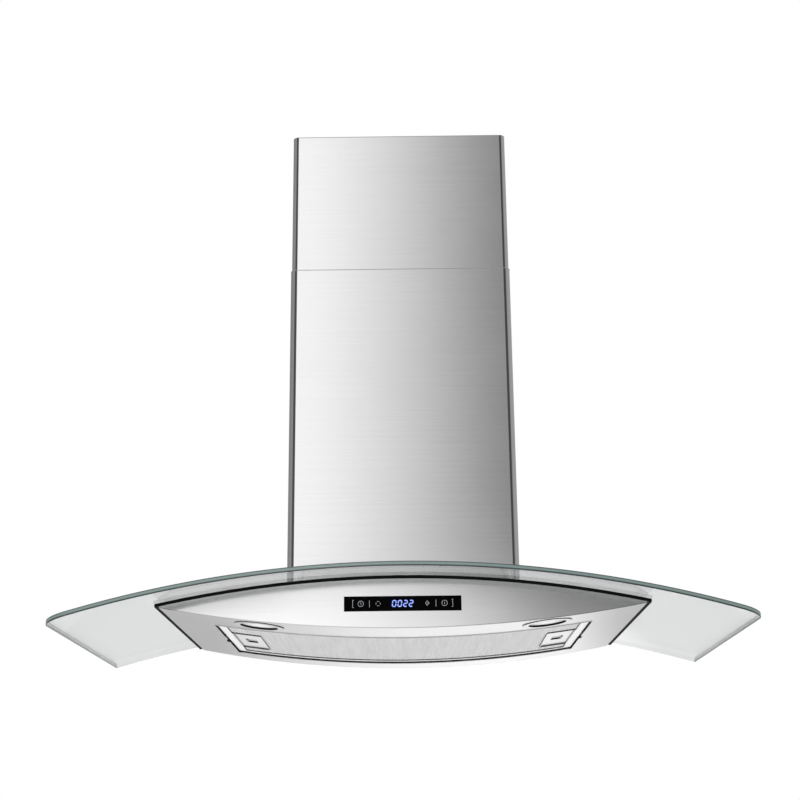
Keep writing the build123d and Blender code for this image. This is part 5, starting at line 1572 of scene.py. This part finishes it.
@dataclass
class Studio:
    """Plain pale floor, soft lamps, white surroundings and the panels that the steel reflects.

    The panels' tables give an angle from the front, in degrees, and the glow there. The card's table gives a
    level and the share of the glow that is left there. Each lamp has a name, a place, a size and a power.
    """

    floor_level: float = -1.0
    floor_radius: float = 14.0
    floor_hole: float = 0.02
    floor_steps: int = 64
    floor_rings: int = 24
    ambient: float = 1.0
    ring_radius: float = 3.6
    ring_steps: int = 720
    foot_levels: Span = (-0.98, -0.70)
    foot_glow: float = 0.86
    calm_levels: Span = (-0.64, -0.10)
    calm_glow: float = 0.9
    calm_half: float = 90.0
    low_level: float = 0.15
    low_glows: tuple[Span, ...] = (
        (-180, 1.30), (-176, 1.14), (-173, 0.92), (-169, 0.72), (-166, 0.50), (-160, 0.50), (-140, 0.46),
        (-100, 0.50), (-70, 0.26), (-30, 0.80), (-18, 1.78), (-12, 1.66), (-7, 1.46), (0, 1.20), (4, 1.12),
        (8, 0.83), (12, 0.54), (17, 0.42), (25, 0.36), (60, 0.30), (100, 0.50), (140, 0.50), (160, 0.48),
        (164, 0.58), (168, 1.16), (172, 1.30), (176, 1.30), (180, 1.30),
    )
    card: tuple[Span, ...] = ((0.517, 1.0), (0.550, 0.75), (0.577, 0.50), (0.588, 0.22), (0.598, 0.22))
    card_ends: Span = (24.0, 40.0)
    card_drop: float = 0.073
    card_reach: float = 16.4
    card_limit: float = 20.0
    high_foot: float = 0.610
    high_top: float = 3.2
    high_glows: tuple[Span, ...] = (
        (-180, 0.55), (-140, 0.30), (-100, 0.30), (-60, 0.34), (-16, 0.40), (-12, 0.60), (-9.3, 1.38),
        (-6, 1.38), (0, 0.86), (6, 0.31), (9, 0.25), (14, 0.24), (26, 0.32), (80, 0.44), (140, 0.46),
        (180, 0.55),
    )
    lamp_aim: Colour = (0.0, -0.2, 0.25)
    lamps: tuple[tuple[str, Colour, float, float], ...] = (
        ("key_lamp", (-2.4, -2.6, 2.2), 1.8, 34.0),
        ("fill_lamp", (2.6, -2.2, 1.0), 2.2, 16.0),
        ("rear_lamp", (0.6, 2.6, 2.4), 2.0, 22.0),
    )

    def floor(self) -> None:
        """Round floor: rings of points whose radius grows with the square of their number."""
        rings = self.floor_rings + 1
        radius = self.floor_radius * (np.arange(rings) / self.floor_rings) ** 2
        radius[0] = self.floor_hole
        points = turned(spread(radius, self.floor_level), self.floor_steps).reshape(-1, 3)
        quads = turned_faces(self.floor_steps, rings)[0]
        middle = (np.arange(self.floor_steps) * rings)[None, :]
        piece = make_mesh("studio_floor", points, [quads[:, ::-1], middle])
        piece.data.materials.append(PaleFloor("pale studio floor").material())

    def panels(self) -> None:
        """Ring of panels that only reflections show.

        An open cylinder whose glow depends on the angle from the front, by one table for the body's level
        and by another for the chimney's. It is even at its foot, which the glass mirrors, and calmer in
        front below the body's level. In front, a dark card stands between the two levels, with edges that
        follow a parabola of the angle.
        """
        angle = np.linspace(-180.0, 180.0, self.ring_steps + 1)
        count = len(angle)
        bearing = np.radians(angle)
        x, y = self.ring_radius * np.sin(bearing), -self.ring_radius * np.cos(bearing)
        low, high = (np.interp(angle, *np.transpose(table)) for table in (self.low_glows, self.high_glows))
        calm = np.where(np.abs(angle) < self.calm_half, np.minimum(low, self.calm_glow), low)
        near = np.interp(np.abs(angle), self.card_ends, (1.0, 0.0))
        limit = self.card_limit
        drop = self.card_drop * np.square(np.clip(angle, -limit, limit) / self.card_reach)
        rows = [(level, self.foot_glow) for level in self.foot_levels]
        rows += [(level, calm) for level in self.calm_levels]
        rows.append((self.low_level, low))
        rows += [(level - drop, low * (1 - near * (1 - share))) for level, share in self.card]
        rows += [(self.high_foot - drop, high), (self.high_top, high)]
        points = np.concatenate([spread(x, y, level) for level, _ in rows])
        step = np.arange(count - 1)[None, :] + count * np.arange(len(rows) - 1)[:, None]
        quads = np.stack([step, step + 1, step + 1 + count, step + count], axis=-1).reshape(-1, 4)
        piece = make_mesh("studio_panels", points, [quads])
        glow = np.concatenate([np.broadcast_to(value, count) for _, value in rows])
        layer = piece.data.attributes.new("glow", "FLOAT", "POINT")
        layer.data.foreach_set("value", glow.astype(np.float32))
        piece.data.materials.append(PanelGlow("reflecting studio panels").material())
        piece.visible_camera = False
        piece.visible_diffuse = False
        piece.visible_shadow = False

    def world(self) -> None:
        """White to the camera and in reflections, and a plain soft light on everything else."""
        world = bpy.data.worlds.new("studio")
        bpy.context.scene.world = world
        world.use_nodes = True
        bench = Bench(world.node_tree)
        soft, white = (
            bench.node("ShaderNodeBackground", {}, {"Color": WHITE, "Strength": strength})
            for strength in (self.ambient, 1.0)
        )
        bench.node("ShaderNodeOutputWorld", {}, {"Surface": bench.mix(bench.seen(), soft, white)})

    def lamp(self, name: str, place: Colour, size: float, power: float) -> None:
        """Square soft lamp that faces the hood.

        Args:
            name: the lamp's name.
            place: where it stands, in metres.
            size: length of its sides.
            power: its power in watts.
        """
        light = bpy.data.lights.new(name, "AREA")
        light.size = size
        light.energy = power
        stand = bpy.data.objects.new(name, light)
        stand.location = place
        aim = Vector(self.lamp_aim) - Vector(place)
        stand.rotation_euler = aim.to_track_quat("-Z", "Y").to_euler()
        stand.visible_glossy = False
        stand.visible_transmission = False
        stand.visible_camera = False
        bpy.context.scene.collection.objects.link(stand)

    def build(self) -> None:
        """Set up the floor, panels, surroundings and lamps."""
        self.floor()
        self.panels()
        self.world()
        for lamp in self.lamps:
            self.lamp(*lamp)


@dataclass
class PhotoCamera:
    """Camera at the photograph's viewing angle, from a fit of the hood's edges."""

    place: Colour = (13.59 * MM, -2299.13 * MM, -300.92 * MM)
    lens: float = 65.908
    sensor: float = 36.0
    far: float = 100.0
    pitch: float = 0.29653
    yaw: float = 0.00778
    roll: float = -0.00957

    def build(self) -> None:
        """Stand the camera and make it the scene's own."""
        data = bpy.data.cameras.new("photo_camera")
        data.lens = self.lens
        data.sensor_width = self.sensor
        data.clip_end = self.far
        camera = bpy.data.objects.new("photo_camera", data)
        turn = Matrix.Rotation(self.yaw, 4, "Z") @ Matrix.Rotation(math.pi / 2 + self.pitch, 4, "X")
        camera.matrix_world = Matrix.Translation(self.place) @ turn @ Matrix.Rotation(self.roll, 4, "Z")
        bpy.context.scene.collection.objects.link(camera)
        bpy.context.scene.camera = camera


def main() -> None:
    """Dress every sub-assembly, then set up the studio and the camera."""
    logging.basicConfig(level=logging.INFO, format="%(name)s %(message)s")
    bpy.context.scene.view_settings.view_transform = "Standard"
    shape = BodyShape()
    shell = (Canopy(shape), Shell(shape), SideScrews())
    fittings = (GreaseFilter(shape), ControlStrip(shape), Lamps(shape), Blower())
    for assembly in shell + fittings:
        assembly.dress()
        log.info("%s dressed", type(assembly).__name__)
    Studio().build()
    PhotoCamera().build()


if __name__ == "__main__":
    main()
